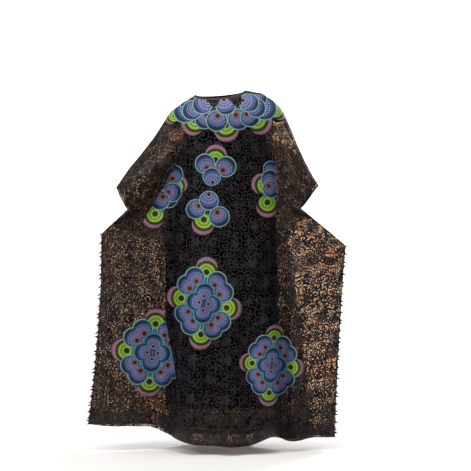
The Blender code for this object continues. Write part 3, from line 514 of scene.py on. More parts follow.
# Its ground is a very fine brown-black net, rusty in patches, which passes light with a warm cast.
NET, NET_RUST = "#1B1310", "#3A1B14"
NET_LIGHT, NET_RED = "#D8CFC6", "#D5C0AE"       # light passed, once for each face of the wall
PAINTED_SHADE_LOSS = 0.50          # painted shade: light taken out at each face where the shade is painted
NET_PITCH = 0.0050      # real mesh is nearer 1.5 mm, drawn coarser so that it shows
NET_THREAD = 0.11
NET_COVER = 0.35        # how much a thread of the net hides
RUST_SCALE = 9.0        # patches of rust about 110 mm across
UNEVEN_SCALE = 60.0     # the cord's black varies over about 17 mm
TWIST_SCALE = 160.0     # one twist of the cord to each 2 mm, drawn coarser so that it shows
WANDER, WANDER_SCALE = 0.006, 22.0      # how far the work strays from true, over about 45 mm
CURL_CELL = 0.031       # one curl to each cell
CURL_UNEVEN = 0.85      # how unevenly the cells lie
CURL_TURN = 0.0125      # from one turn of a curl to the next
CURL_BAND = 0.23        # half the cord's share of that
CURL_REACH = 0.0135
BAR = 0.060             # half width of the bars between curls, as a share of a cell
FLOWER_STEP = (0.083, 0.165)    # the repeat of flowers and scrolls across and down, half dropped
FLOWER_AT, SCROLL_AT = (0.004, 0.046, 0), (-0.006, -0.036, 0)
PETAL_COUNT = 5
PETAL_DIP, PETAL_RISE = 0.0110, 0.0085  # a flower's reach between petals, and how much more at a tip
FLOWER_RINGS = (        # where each begins in that reach, white where there is cord
    (0.00, "#FFFFFF"), (0.22, "#000000"), (0.36, "#FFFFFF"), (0.52, "#000000"), (0.80, "#FFFFFF"),
    (1.00, "#000000"))
SCROLL_TURN, SCROLL_BAND, SCROLL_START = 0.0185, 0.19, 0.2
SCROLL_REACH = 0.022


def corded_lace(name, curl_band, net_cover):
    """Corded lace: curls and bars, and a half-drop repeat of flowers and scrolls, on a light net."""
    made, tree = fresh(name)
    uv = add(tree, "UVMap", uv_map="cut")
    wander = add(tree, "TexNoise", {"Vector": uv, "Scale": WANDER_SCALE}, 1, noise_dimensions="2D")
    wander = add(tree, "VectorMath", (wander, (0.5, 0.5, 0.5)), operation="SUBTRACT")
    spot = add(tree, "VectorMath", (wander, (WANDER, WANDER, 0), uv), operation="MULTIPLY_ADD")

    def spiral(local, turn, start, hand, band, reach):
        """The cord of one spiral, wound one way or the other round its middle."""
        parts = add(tree, "SeparateXYZ", (local,)).node.outputs
        out = add(tree, "VectorMath", (local,), 1, operation="LENGTH")
        wound = add(tree, "Math", (parts[1], parts[0]), operation="ARCTAN2")
        wound = add(tree, "Math", (wound, hand), operation="MULTIPLY")
        wound = add(tree, "Math", (wound, 1 / (2 * pi), start), operation="MULTIPLY_ADD")
        cord = add(tree, "Math", (out, 1 / turn, wound), operation="MULTIPLY_ADD")
        for operation, *rest in (("FRACT",), ("SUBTRACT", 0.5), ("ABSOLUTE",), ("LESS_THAN", band)):
            cord = add(tree, "Math", (cord, *rest), operation=operation)
        inside = add(tree, "Math", (out, reach), operation="LESS_THAN")
        return add(tree, "Math", (cord, inside), operation="MULTIPLY")

    # Curls, one in each cell, turned at random, with bars along the cells' edges.
    cells = {"Vector": spot, "Scale": 1 / CURL_CELL, "Randomness": CURL_UNEVEN}
    middle = add(tree, "TexVoronoi", cells, "Position", voronoi_dimensions="2D")
    chance = add(tree, "TexVoronoi", cells, "Color", voronoi_dimensions="2D")
    edge = add(tree, "TexVoronoi", cells, 0, voronoi_dimensions="2D", feature="DISTANCE_TO_EDGE")
    local = add(tree, "VectorMath", (spot, middle), operation="SUBTRACT")
    pick = add(tree, "SeparateXYZ", (chance,)).node.outputs
    hand = add(tree, "Math", (pick[1], 0.5), operation="GREATER_THAN")
    hand = add(tree, "Math", (hand, 2.0, -1.0), operation="MULTIPLY_ADD")
    curl = spiral(local, CURL_TURN, pick[0], hand, curl_band, CURL_REACH)
    bar = add(tree, "Math", (edge, BAR), operation="LESS_THAN")

    # Flowers and C scrolls on a half-drop repeat.
    along = add(tree, "SeparateXYZ", (spot,)).node.outputs
    across = add(tree, "Math", (along[0], FLOWER_STEP[0]), operation="DIVIDE")
    drop = add(tree, "Math", (across,), operation="FLOOR")
    drop = add(tree, "Math", (drop, 2.0), operation="FLOORED_MODULO")
    down = add(tree, "Math", (along[1], FLOWER_STEP[1]), operation="DIVIDE")
    down = add(tree, "Math", (drop, 0.5, down), operation="MULTIPLY_ADD")
    repeat = []
    for way, step in zip((across, down), FLOWER_STEP):
        way = add(tree, "Math", (way,), operation="FRACT")
        repeat.append(add(tree, "Math", (way, step, -step / 2), operation="MULTIPLY_ADD"))
    repeat = add(tree, "CombineXYZ", repeat)
    bloom = add(tree, "VectorMath", (repeat, FLOWER_AT), operation="SUBTRACT")
    parts = add(tree, "SeparateXYZ", (bloom,)).node.outputs
    far = add(tree, "VectorMath", (bloom,), 1, operation="LENGTH")
    petal = add(tree, "Math", (parts[1], parts[0]), operation="ARCTAN2")
    for operation, *rest in (("MULTIPLY", PETAL_COUNT / 2), ("COSINE",), ("ABSOLUTE",),
                             ("MULTIPLY_ADD", PETAL_RISE, PETAL_DIP)):
        petal = add(tree, "Math", (petal, *rest), operation=operation)
    flower = add(tree, "Math", (far, petal), operation="DIVIDE")
    flower = add(tree, "ValToRGB", (flower,), stops=FLOWER_RINGS)
    local = add(tree, "VectorMath", (repeat, SCROLL_AT), operation="SUBTRACT")
    hand = add(tree, "Math", (drop, -2.0, 1.0), operation="MULTIPLY_ADD")
    scroll = spiral(local, SCROLL_TURN, SCROLL_START, hand, SCROLL_BAND, SCROLL_REACH)

    # Net in what is left open, of threads that slant both ways.
    threads = []
    for slant in (1, -1):
        thread = (1 / NET_PITCH, slant / NET_PITCH, 0)
        thread = add(tree, "VectorMath", (uv, thread), 1, operation="DOT_PRODUCT")
        thread = add(tree, "Math", (thread, 1.0), operation="PINGPONG")
        threads.append(add(tree, "Math", (thread, NET_THREAD), operation="LESS_THAN"))
    net = add(tree, "Math", threads, operation="MAXIMUM")
    net = add(tree, "Math", (net, net_cover), operation="MULTIPLY")
    raised = add(tree, "Math", (flower, scroll), operation="MAXIMUM")
    cord = add(tree, "Math", (curl, bar), operation="MAXIMUM")
    cord = add(tree, "Math", (cord, raised), operation="MAXIMUM")
    solid = add(tree, "Math", (cord, net), operation="MAXIMUM")

    # Colour: cords a little uneven in their black, the net brown and redder in patches.
    uneven = {"Vector": uv, "Scale": UNEVEN_SCALE, "Detail": 3.0}
    uneven = add(tree, "TexNoise", uneven, noise_dimensions="2D")
    black = add(tree, "Mix", {0: uneven, 6: CORD, 7: CORD_LIGHT}, 2, data_type="RGBA")
    black = add(tree, "Mix", {0: flower, 6: black, 7: CORD_GREY}, 2, data_type="RGBA")
    patch = add(tree, "TexNoise", {"Vector": uv, "Scale": RUST_SCALE}, noise_dimensions="2D")
    patch = add(tree, "MapRange", {"Value": patch, "From Min": 0.48, "From Max": 0.66, "To Max": 0.55})
    brown = add(tree, "Mix", {0: patch, 6: NET, 7: NET_RUST}, 2, data_type="RGBA")
    colour = add(tree, "Mix", {0: cord, 6: brown, 7: black}, 2, data_type="RGBA")

    # Relief: flowers and scrolls stand over the curls, and every cord is twisted.
    height = add(tree, "Math", (raised, 0.6, cord), operation="MULTIPLY_ADD")
    twist = {"Vector": uv, "Scale": TWIST_SCALE, "Distortion": 2.0}
    twist = add(tree, "TexWave", twist, 1, bands_direction="DIAGONAL")
    height = add(tree, "Math", (twist, 0.25, height), operation="MULTIPLY_ADD")
    bump = add(tree, "Bump", {"Strength": 0.6, "Distance": 0.0008, "Height": height})
    body = add(tree, "BsdfPrincipled", {
        "Base Color": colour, "Roughness": 0.6, "Specular IOR Level": 0.22, "Normal": bump, "IOR": 1.5,
        "Sheen Weight": 0.06, "Sheen Roughness": 0.45, "Sheen Tint": CORD_SHEEN})
    # Painted shade: what passes the lace is darkened where a painted shade is marked on the points, under
    # the arms, beside the body and over the left wing.
    tint = add(tree, "Mix", {0: patch, 6: NET_LIGHT, 7: NET_RED}, 2, data_type="RGBA")
    painted_shade = add(tree, "Attribute", out="Fac", attribute_name="painted_shade")
    painted_shade = add(tree, "Math", (painted_shade, -PAINTED_SHADE_LOSS, 1.0), operation="MULTIPLY_ADD")
    tint = add(tree, "VectorMath", {0: tint, "Scale": painted_shade}, operation="SCALE")
    through = add(tree, "BsdfTransparent", (tint,))
    both = add(tree, "MixShader", (solid, through, body))
    add(tree, "OutputMaterial", (both,))
    return made


def paint_shade(piece, side):
    """Marks where shade is painted into the front's see-through: under the arms, beside the body and over
    the left wing; the back gets none.
    """
    places = np.empty(len(piece.data.vertices) * 3)
    piece.data.vertices.foreach_get("co", places)
    x, z = places[0::3], places[2::3]
    left, right = (np.interp(-z, -column(PAINTED_SHADE_ZONES, 0), column(PAINTED_SHADE_ZONES, place)) for place in (1, 2))
    shade_share = np.where(x < 0, (x - left) / PAINTED_SHADE_EDGE[0], (right - x) / PAINTED_SHADE_EDGE[1])
    painted_shade = piece.data.attributes.new("painted_shade", "FLOAT", "POINT")
    painted_shade.data.foreach_set("value", np.clip(shade_share, PAINTED_SHADE_LEFT_WING * (x < 0), 1) * (side == FRONT))


OPEN_LACE = corded_lace("black_corded_lace_on_net", CURL_BAND, NET_COVER)
for side, label in SIDES:
    piece = cloth(
        f"lace_{label}", OPEN_LACE, lambda u, v: drape(*outline(u, v * BORDER_SHARE, side), side),
        (PANEL_WIDTH, PANEL_LENGTH * BORDER_SHARE), LACE, side, across=168, down=168, pace=1.5)
    # painted shade on the front, under the arms and over the left wing
    paint_shade(piece, side)
    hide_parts(label)
    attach(piece, "root")

# ======== hem borders
# A strip of the same lace worked more closely, sewn along the foot of each panel.
# It hangs with the panel's folds, and its seam lies flat.

CLOSE_BAND = 0.36
CLOSE_LACE = corded_lace("black_corded_lace_closely_worked", CLOSE_BAND, 1.0)
BORDER_START = BORDER_SHARE + SEAM / PANEL_LENGTH
for side, label in SIDES:
    cut = (PANEL_WIDTH, PANEL_LENGTH * (1 - BORDER_SHARE))
    piece = cloth(
        f"hem_lace_{label}", CLOSE_LACE,
        lambda u, v: drape(*outline(u, BORDER_START + v * (1 - BORDER_START), side), side),
        cut, LACE, side, across=168, down=10)
    # painted shade on the front, under the arms and over the left wing
    paint_shade(piece, side)
    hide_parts(f"hem_border_{label}")
    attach(piece, "root")

# ======== lining
# A narrow black slip of smooth polyester lining, caught in at the neck and shoulders.
# It backs the middle of the robe only and ends above the border, so the lace is clear below it.

# Smooth filament polyester in a plain weave: an even black, with a soft low gloss.
LINING_WEAVE = 320.0    # a thread to each 1 mm, drawn coarser than the real cloth so that it shows
LINING_CLOTH, tree = fresh("black_polyester_lining_plain_weave")
at = add(tree, "TexCoord", out="Object")
threads = {"Vector": at, "Scale": LINING_WEAVE}
threads = [add(tree, "TexWave", threads, 1, bands_direction=way) for way in "ZX"]
weave = add(tree, "Math", threads, operation="ADD")
uneven = add(tree, "TexNoise", {"Vector": at, "Scale": 14.0, "Detail": 3.0})
colour = add(tree, "Mix", {0: uneven, 6: "#070608", 7: "#121015"}, 2, data_type="RGBA")
bump = add(tree, "Bump", {"Strength": 0.15, "Distance": 0.0004, "Height": weave})
body = add(tree, "BsdfPrincipled", {
    "Base Color": colour, "Roughness": 0.5, "Specular IOR Level": 0.3, "Normal": bump, "IOR": 1.5})
add(tree, "OutputMaterial", (body,))
SLIP = 0.0008           # thickness
SLIP_ROOM = 0.0065      # how far it hangs inside the lace
SLIP_DROP = 0.0015      # how far its top lies under the shoulder line
SLIP_EDGES = (
    # name,        share down,  left x,  right x
    ("shoulder",    0.000,    -0.172,    0.200),
    ("armhole",     0.105,    -0.158,    0.190),
    ("underarm",    0.212,    -0.194,    0.216),
    ("hip",         0.464,    -0.238,    0.238),
    ("hem",         1.000,    -0.236,    0.246),
)
SLIP_FOOT = -1.340      # level of its hem
SLIP_SEAM = 2           # row of that table where the side seams start
SLIP_TURN, SLIP_DEPTH = 0.075, 0.170    # it turns in to its seams within this width
SLIP_REACH = 0.032      # it bridges troughs of the lace this far to each side
SLIP_START = 0.06       # share of its length in which it leaves the shoulder line
NECK_FROM, NECK_TO = ARM_RUN[NECK_LEFT], ARM_RUN[NECK_RIGHT]
RIM = np.linspace(NECK_FROM - 0.2, NECK_TO + 0.2, 160)      # neckline and shoulders over the slip
for side, label in SIDES:
    rim_x, rim_z = outline(RIM, np.zeros(len(RIM)), side)

    def slip_at(u, v):
        """A point of the slip, hung inside the lace and turned in to its side seams."""
        left, right = (smooth(v, column(SLIP_EDGES, 1), column(SLIP_EDGES, edge)) for edge in (2, 3))
        x = left + (right - left) * u
        _, _, left_top, right_top = SLIP_EDGES[0]
        top = np.interp(left_top + (right_top - left_top) * u, rim_x, rim_z) - SLIP_DROP
        z = top + (SLIP_FOOT - top) * v
        off = ease(v / SLIP_START)
        within = SLIP_ROOM * off + (SLIP + 2 * SEAM) * (1 - off)
        half = np.min([room(x + step * SLIP_REACH * off, z, side) for step in (-1, 0, 1)], axis=0) - within
        start, run = top.mean(), SLIP_FOOT - top.mean()
        seams = [[(row[edge], start + run * row[1]) for row in SLIP_EDGES[SLIP_SEAM:]] for edge in (2, 3)]
        to_seam = np.min([near(seam, x, z) for seam in seams], axis=0)
        turn = 1 - np.clip(to_seam / SLIP_TURN, 0, 1)
        half = np.maximum(np.minimum(half, SLIP_DEPTH * np.sqrt(1 - turn * turn)), 0)
        return np.stack([x, OUT[side] * (half + SEAM / 2) + sway(x, z), z], axis=-1)

    piece = cloth(
        f"slip_{label}", LINING_CLOTH, slip_at, (0.60, 1.36), SLIP, side, across=80, down=120, pace=1.3)
    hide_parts(f"lining_{label}")
    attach(piece, "root")

# ======== neck binding
# A bias strip of black satin, folded over the raw neckline and sewn down all round.
# It stands up a little as a soft roll.

BINDING = 0.0015        # how high its roll stands
BINDING_EDGE = 0.1      # share of that height at its edges
BINDING_WALL = 0.0006   # thickness
BINDING_SHARE = 0.005   # its width, as a share of the panel's length
# Black satin on the bias: fine slanting ribs, and a little more gloss than the lace.
SATIN_RIBS = 260.0      # a rib to each 1.2 mm, drawn coarser than real satin so that it shows
SATIN, tree = fresh("black_satin_bias_binding")
uv = add(tree, "UVMap", uv_map="cut")
ribs = {"Vector": uv, "Scale": SATIN_RIBS, "Distortion": 1.0}
ribs = add(tree, "TexWave", ribs, 1, bands_direction="DIAGONAL")
shade = add(tree, "Mix", {0: ribs, 6: "#0C0A0D", 7: "#1C181D"}, 2, data_type="RGBA")
bump = add(tree, "Bump", {"Strength": 0.3, "Distance": 0.0004, "Height": ribs})
body = add(tree, "BsdfPrincipled", {
    "Base Color": shade, "Roughness": 0.55, "Specular IOR Level": 0.25, "Normal": bump, "IOR": 1.5})
add(tree, "OutputMaterial", (body,))
for side, label in SIDES:

    def binding_at(u, v):
        """A point of the binding, which is thickest along its middle."""
        x, z = outline(NECK_FROM + u * (NECK_TO - NECK_FROM), v * BINDING_SHARE, side)
        roll = BINDING_EDGE + (1 - BINDING_EDGE) * np.sin(pi * v)
        return drape(x, z, side, LACE + SEAM + BINDING * roll)

    piece = cloth(
        f"neck_roll_{label}", SATIN, binding_at, (0.25, 0.012), BINDING_WALL, side, across=96, down=8, up=1)
    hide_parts(f"neck_binding_{label}")
    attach(piece, "root")

# ======== printed motifs
# Scalloped rosettes cut from a wax-type printed cotton and applied to the lace: petals in lilac and
# blue round a four-lobed middle, and lime and pink fans between them. Each lies just off the lace.

PRINT = 0.0010          # thickness
PRINT_LIFT = LACE + 2 * SEAM    # its inner face, off the lace's
PALE, NAVY, BLUE, SKY = "#A2CCC2", "#0E1A38", "#38609F", "#92B4DC"
LILAC, LILAC_LIGHT, VIOLET = "#6264AA", "#A6A6DC", "#28266A"
TEAL, TEAL_LIGHT, ROSE_HALO = "#1C7E9E", "#82C0CC", "#B48A92"
ORANGE, RUST, EYE = "#A8562C", "#64301C", "#17100F"
LIME, LIME_DEEP, LEMON = "#93D015", "#4C7C00", "#CCEA5E"
BROWN, PINK, ROSE = "#43251A", "#AE7F90", "#74405C"
# Bands from a lobe's eye to its edge: where each begins, its colour, and that of its dashes if any.
PETAL_BANDS = (
    # from,  plain,     dashes
    (0.00,   EYE),
    (0.11,   ORANGE,    RUST),
    (0.18,   ROSE_HALO),
    (0.235,  VIOLET),
    (0.27,   BLUE,      LILAC_LIGHT),
    (0.37,   LILAC),
    (0.41,   LILAC,     LILAC_LIGHT),
    (0.48,   VIOLET),
    (0.53,   BLUE,      SKY),
    (0.61,   NAVY),
    (0.66,   BLUE,      LILAC),
    (0.71,   NAVY),
)
FAN_BANDS = (
    (0.00,   EYE),
    (0.14,   LIME_DEEP, EYE),
    (0.20,   LEMON,     LIME),
    (0.27,   LIME),
    (0.34,   LIME_DEEP),
    (0.40,   LIME,      LEMON),
    (0.50,   LIME),
    (0.55,   LIME_DEEP, EYE),
    (0.61,   EYE,       BROWN),
    (0.69,   BROWN),
    (0.73,   PINK),
    (0.90,   PINK,      ROSE),
    (0.96,   ROSE),
)
HEART_BANDS = (
    (0.00,   EYE),
    (0.12,   LILAC_LIGHT, ROSE_HALO),
    (0.21,   VIOLET),
    (0.26,   LILAC,     LILAC_LIGHT),
    (0.38,   VIOLET,    LILAC),
    (0.43,   BLUE,      SKY),
    (0.55,   LILAC_LIGHT, LILAC),
    (0.60,   VIOLET),
    (0.64,   BLUE,      LILAC),
    (0.76,   NAVY),
)
GROUND_BANDS = (
    (0.00,   TEAL),
    (0.62,   TEAL,      TEAL_LIGHT),
    (0.70,   NAVY),
    (0.73,   TEAL),
    (0.84,   TEAL,      TEAL_LIGHT),
    (0.94,   TEAL),
)
PETAL_RIM = ((0.0, NAVY), (0.835, TEAL), (0.86, NAVY), (0.90, PALE), (0.98, TEAL))
HEART_RIM = ((0.0, NAVY), (0.97, TEAL))
KINDS = {
    # kind:   bands,        eye set back, rim,       rim from, laid over the kinds before
    "fan":    (FAN_BANDS,    0.44,        (),        0.00),
    "petal":  (PETAL_BANDS,  0.46,        PETAL_RIM, 0.79),
    "ground": (GROUND_BANDS, 0.00,        (),        0.00),
    "heart":  (HEART_BANDS,  0.45,        HEART_RIM, 0.86),
    "drop":   (HEART_BANDS,  0.62,        PETAL_RIM, 0.82),
}
DASHES = 26             # to a turn
COTTON_GRAIN = 420.0    # the dye takes unevenly over about 2.4 mm
COTTON_WEAVE = 210.0    # a thread to each 1.5 mm, drawn coarser than real cotton so that it shows
PRINTED = {}
for kind, (bands, back, rim_bands, rim_from) in KINDS.items():
    # One lobe of this kind over what lies under it, as a group of nodes.
    PRINTED[kind] = tree = bpy.data.node_groups.new(f"printed_{kind}", "ShaderNodeTree")
    for name, sort in (("Plane", "Vector"), ("Under", "Color"), ("Place", "Vector"), ("Eye", "Vector"),
                       ("Radius", "Float"), ("Span", "Float")):
        tree.interface.new_socket(name=name, in_out="INPUT", socket_type=f"NodeSocket{sort}")
    tree.interface.new_socket(name="Colour", in_out="OUTPUT", socket_type="NodeSocketColor")
    given = tree.nodes.new("NodeGroupInput").outputs
    rim = add(tree, "VectorMath", (given["Plane"], given["Place"]), 1, operation="DISTANCE")
    rim = add(tree, "Math", (rim, given["Radius"]), operation="DIVIDE")
    off = add(tree, "VectorMath", (given["Plane"], given["Eye"]), operation="SUBTRACT")
    ring = add(tree, "VectorMath", (off,), 1, operation="LENGTH")
    ring = add(tree, "Math", (ring, given["Span"]), operation="DIVIDE")
    plain, dashed = (       # a row's last colour is its dashes'
        add(tree, "ValToRGB", (ring,), stops=[(row[0], row[k]) for row in bands]) for k in (1, -1))
    parts = add(tree, "SeparateXYZ", (off,)).node.outputs
    dash = add(tree, "Math", (parts[1], parts[0]), operation="ARCTAN2")
    for operation, *rest in (("MULTIPLY", DASHES), ("SINE",), ("GREATER_THAN", 0.0)):
        dash = add(tree, "Math", (dash, *rest), operation=operation)
    colour = add(tree, "Mix", {0: dash, 6: plain, 7: dashed}, 2, data_type="RGBA")
    if rim_bands:
        edge = add(tree, "ValToRGB", (rim,), stops=rim_bands)
        at_rim = add(tree, "Math", (rim, rim_from), operation="GREATER_THAN")
        colour = add(tree, "Mix", {0: at_rim, 6: colour, 7: edge}, 2, data_type="RGBA")
    covers = add(tree, "Math", (rim, 1.0), operation="LESS_THAN")
    colour = add(tree, "Mix", {0: covers, 6: given["Under"], 7: colour}, 2, data_type="RGBA")
    tree.links.new(colour, tree.nodes.new("NodeGroupOutput").inputs[0])


def lobes_of(circles, middle):
    """Print lobes for a table of circles, in the order of their kinds."""
    lobes = []
    for kind, (_, set_back, _, _) in KINDS.items():
        for name, x, z, radius in circles:
            if kind in name:
                out = Vector((x - middle[0], z - middle[1], 0)).normalized()
                back = set_back * radius
                eye = tuple(Vector((x, z, 0)) - out * back)
                lobes.append((kind, (x, z, 0), eye, radius, radius + back))
    return lobes


def printed_cotton(name, lobes, ground=TEAL, joined=False):
    """Printed cotton, matt, in a plain weave that shows as fine grain: its lobes laid over in order.

    Lobes of one kind may be joined, so that each spot of the print belongs to the nearest of them.
    """
    made, tree = fresh(name)
    at = add(tree, "TexCoord", out="Object")
    parts = add(tree, "SeparateXYZ", (at,)).node.outputs
    plane = add(tree, "CombineXYZ", (parts[0], parts[2]))
    colour = ground
    last = None
    for k, (kind, place, eye, radius, span) in enumerate(lobes):
        if joined:
            far = add(tree, "VectorMath", (plane, place), 1, operation="DISTANCE")
            if kind == last:
                nearer = add(tree, "Math", (far, nearest), operation="LESS_THAN")
                far = add(tree, "Math", (far, nearest), operation="MINIMUM")
                place = add(tree, "Mix", {0: nearer, 4: place_at, 5: place}, 1, data_type="VECTOR")
                eye = add(tree, "Mix", {0: nearer, 4: eye_at, 5: eye}, 1, data_type="VECTOR")
            place_at, eye_at, nearest, last = place, eye, far, kind
            if k + 1 < len(lobes) and lobes[k + 1][0] == kind:
                continue
        colour = add(tree, "Group", {
            "Plane": plane, "Under": colour, "Place": place, "Eye": eye, "Radius": radius, "Span": span},
            node_tree=PRINTED[kind])
    grain = add(tree, "TexNoise", {"Vector": at, "Scale": COTTON_GRAIN, "Detail": 2.0})
    grain = add(tree, "MapRange", {
        "Value": grain, "From Min": 0.3, "From Max": 0.7, "To Min": 0.44, "To Max": 0.64})
    colour = add(tree, "VectorMath", {0: colour, "Scale": grain}, operation="SCALE")
    threads = {"Vector": at, "Scale": COTTON_WEAVE}
    threads = [add(tree, "TexWave", threads, 1, bands_direction=way) for way in "ZX"]
    weave = add(tree, "Math", threads, operation="ADD")
    bump = add(tree, "Bump", {"Strength": 0.2, "Distance": 0.0005, "Height": weave})
    body = add(tree, "BsdfPrincipled", {
        "Base Color": colour, "Roughness": 0.6, "Specular IOR Level": 0.3, "Normal": bump, "IOR": 1.5})
    add(tree, "OutputMaterial", (body,))
    return made


def edge_reach(middle, circles, angle, least, cuts):
    """How far a motif reaches from its middle in each direction."""
    ux, uz = np.cos(angle), np.sin(angle)
    reach = np.full(np.shape(angle), float(least))
    for _, x, z, radius in circles:
        ox, oz = x - middle[0], z - middle[1]
        toward = ox * ux + oz * uz
        inside = radius ** 2 - (ox * ox + oz * oz - toward ** 2)
        reach = np.where(inside > 0, np.maximum(reach, toward + np.sqrt(np.maximum(inside, 0))), reach)
    for (ax, az), (bx, bz) in cuts:
        nx, nz = bz - az, ax - bx
        facing = nx * ux + nz * uz
        away = nx * (ax - middle[0]) + nz * (az - middle[1])
        cut_off = away / np.where(facing == 0, 1, facing)
        reach = np.where(facing * away > 0, np.minimum(reach, cut_off), reach)
    return reach


def motif(name, node, middle, circles, finish, least=0.0, cuts=()):
    """A motif: rings of points from its middle to its scalloped edge, laid on the front."""
    def motif_at(u, v):
        angle = 2 * pi * u
        reach = edge_reach(middle, circles, angle, least, cuts) * v
        x, z = middle[0] + reach * np.cos(angle), middle[1] + reach * np.sin(angle)
        return drape(x, z, FRONT, PRINT_LIFT)

    piece = cloth(name, finish, motif_at, (1, 1), PRINT, FRONT, across=288, down=22)
    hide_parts(node)
    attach(piece, "root")


ROSETTE_LOBES = (
    # kind,    degrees from the axis across, ring and size as shares of the rosette's half size
    ("petal",  31, 0.610, 0.250),
    ("petal",  59, 0.610, 0.250),
    ("fan",     0, 0.775, 0.260),
    ("ground",  0, 0.235, 0.255),
    ("heart",   0, 0.235, 0.205),
)
ROSETTES = (
    # name,                 x,      z,     half across, half up, droop, lean (degrees), flat size, area
    ("rosette_centre",     -0.071, -0.897,  0.152,      0.194,   11.0,  5.0,          (0.40, 0.39), 0.094),
    ("rosette_lower_left", -0.292, -1.114,  0.166,      0.186,    6.0,  6.0,          (0.31, 0.38), 0.072),
    ("rosette_lower_right", 0.215, -1.161,  0.130,      0.170,    8.0,  5.5,          (0.43, 0.34), 0.088),
)
ROSETTE_CUTS = {"rosette_lower_left": (((-0.240, -0.960), (-0.190, -1.200)),)}
for name, x, z, across, up, droop, lean, flat, area in ROSETTES:
    right = np.array((across * cos(radians(droop)), -across * sin(radians(droop))))
    top = np.array((up * sin(radians(lean)), up * cos(radians(lean))))
    size = (across + up) / 2
    circles = []
    for quarter in range(4):
        for kind, degrees, ring, share in ROSETTE_LOBES:
            turn = radians(90 * quarter + degrees)
            spot = (x, z) + ring * cos(turn) * right + ring * sin(turn) * top
            circles.append((kind, *(float(part) for part in spot), share * size))
    finish = printed_cotton(f"wax_printed_cotton_{name}", lobes_of(circles, (x, z)), joined=True)
    motif(f"print_{name}", name, (x, z), circles, finish, cuts=ROSETTE_CUTS.get(name, ()))

# ======== chest and side motifs
# Half rosettes of the same print: two set point to point down the chest, and one at each side,
# cut off where the cloth turned away from the body.

CHEST_MOTIF = (
    # name,             x,      z,     radius
    ("top fan",        -0.020, -0.274, 0.046),
    ("petal left",     -0.067, -0.309, 0.043),
    ("petal right",     0.022, -0.322, 0.045),
    ("upper fan",      -0.038, -0.364, 0.039),
    ("lower fan",      -0.050, -0.466, 0.042),
    ("low petal left", -0.106, -0.502, 0.043),
    ("low petal right", -0.006, -0.534, 0.045),
    ("foot fan",       -0.075, -0.566, 0.047),
)
CHEST_WAIST = (-0.043, -0.414)  # where the two meet
CHEST_WAIST_HALF = 0.007
CHEST_HEARTS = (("drop up", -0.038, -0.364, 0.039), ("drop down", -0.050, -0.466, 0.042))
CHEST_MIDDLES = ((-0.034, -0.388), (-0.050, -0.440))
SIDE_MOTIFS = (
    # node, flat size, middle, line where it is cut off, and its lobes: name, x, z, radius
    ("rosette_upper_left", (0.24, 0.27), (-0.232, -0.428), ((-0.335, -0.560), (-0.190, -0.305)), (
        ("petal top",      -0.200, -0.352, 0.042),
        ("petal middle",   -0.224, -0.452, 0.045),
        ("petal inner",    -0.206, -0.428, 0.042),
        ("petal low",      -0.262, -0.462, 0.044),
        ("fan side",       -0.176, -0.396, 0.036),
        ("fan foot",       -0.290, -0.538, 0.045),
    )),
    ("rosette_upper_right", (0.16, 0.24), (0.205, -0.405), ((0.236, -0.300), (0.240, -0.560)), (
        ("fan side",        0.172, -0.394, 0.044),
        ("petal top",       0.214, -0.330, 0.036),
        ("petal upper",     0.210, -0.372, 0.040),
        ("petal lower",     0.214, -0.416, 0.038),
        ("fan foot",        0.196, -0.492, 0.046),
    )),
)
chest = []
for part, heart, middle in zip((CHEST_MOTIF[:3], CHEST_MOTIF[5:]), CHEST_HEARTS, CHEST_MIDDLES):
    chest += lobes_of((*part, heart), middle)
finish = printed_cotton("wax_printed_cotton_chest", chest, NAVY)
motif("print_chest", "motif_chest", CHEST_WAIST, CHEST_MOTIF, finish,
      least=CHEST_WAIST_HALF)
for node, flat, middle, cut, circles in SIDE_MOTIFS:
    finish = printed_cotton(f"wax_printed_cotton_{node}", lobes_of(circles, middle))
    motif(f"print_{node}", node, middle, circles, finish, cuts=(cut,))

# ======== yoke
# A collar of the same print, cut out along its petals and fans and laid round the neck, front and
# back, over both shoulders. Bare lace shows in two notches under the front binding.

YOKE_FRONT = (
    # name,                x,      z,     radius
    ("fan sleeve left",   -0.211, -0.108, 0.032),
    ("petal left",        -0.150, -0.082, 0.056),
    ("fan left",          -0.120, -0.142, 0.048),
    ("petal low left",    -0.069, -0.122, 0.043),
    ("petal middle left", -0.017, -0.129, 0.047),
    ("fan middle",         0.024, -0.168, 0.051),
    ("petal middle right", 0.075, -0.122, 0.047),
    ("petal low right",    0.124, -0.112, 0.043),
    ("fan right",          0.168, -0.134, 0.051),
    ("petal right",        0.186, -0.070, 0.056),
    ("fan sleeve right",   0.250, -0.084, 0.038),
)
YOKE_BACK = (
    ("fan sleeve left",   -0.211, -0.108, 0.032),
    ("petal left",        -0.150, -0.082, 0.056),
    ("fan left",          -0.110, -0.130, 0.048),
    ("petal middle left", -0.050, -0.112, 0.052),
    ("fan middle",         0.012, -0.150, 0.050),
    ("petal middle right", 0.076, -0.106, 0.052),
    ("fan right",          0.140, -0.124, 0.050),
    ("petal right",        0.190, -0.070, 0.056),
    ("fan sleeve right",   0.250, -0.084, 0.038),
)
YOKE_MIDDLE = (0.004, -0.004)
YOKE_GAPS = (
    # name,     x,      z,     half width, half height
    ("left",   -0.028, -0.040, 0.021,      0.029),
    ("right",   0.068, -0.038, 0.021,      0.029),
)
YOKE_LEAST = 0.040      # from its middle to its outer edge
YOKE_CLEAR = (0.0090, 0.0190)   # neck binding and the room beside it, front and back
YOKE_SEARCH = 0.20      # its inner edge lies within this of its middle
YOKE_ENDS = (0.148, 0.058)      # left and right ends, as angles under the level, in radians
YOKE_TIP = 0.002        # share of its width at each end that follows the shoulder line
INNER_LOBES = (
    # name,                x,      z,     radius
    ("petal neck left",   -0.142, -0.034, 0.040),
    ("petal neck right",   0.158, -0.024, 0.042),
    ("petal inner left",  -0.122, -0.080, 0.046),
    ("petal inner right",  0.150, -0.070, 0.044),
    ("drop left",         -0.078, -0.056, 0.044),
    ("drop middle",        0.021, -0.062, 0.044),
    ("drop right",         0.120, -0.048, 0.044),
)
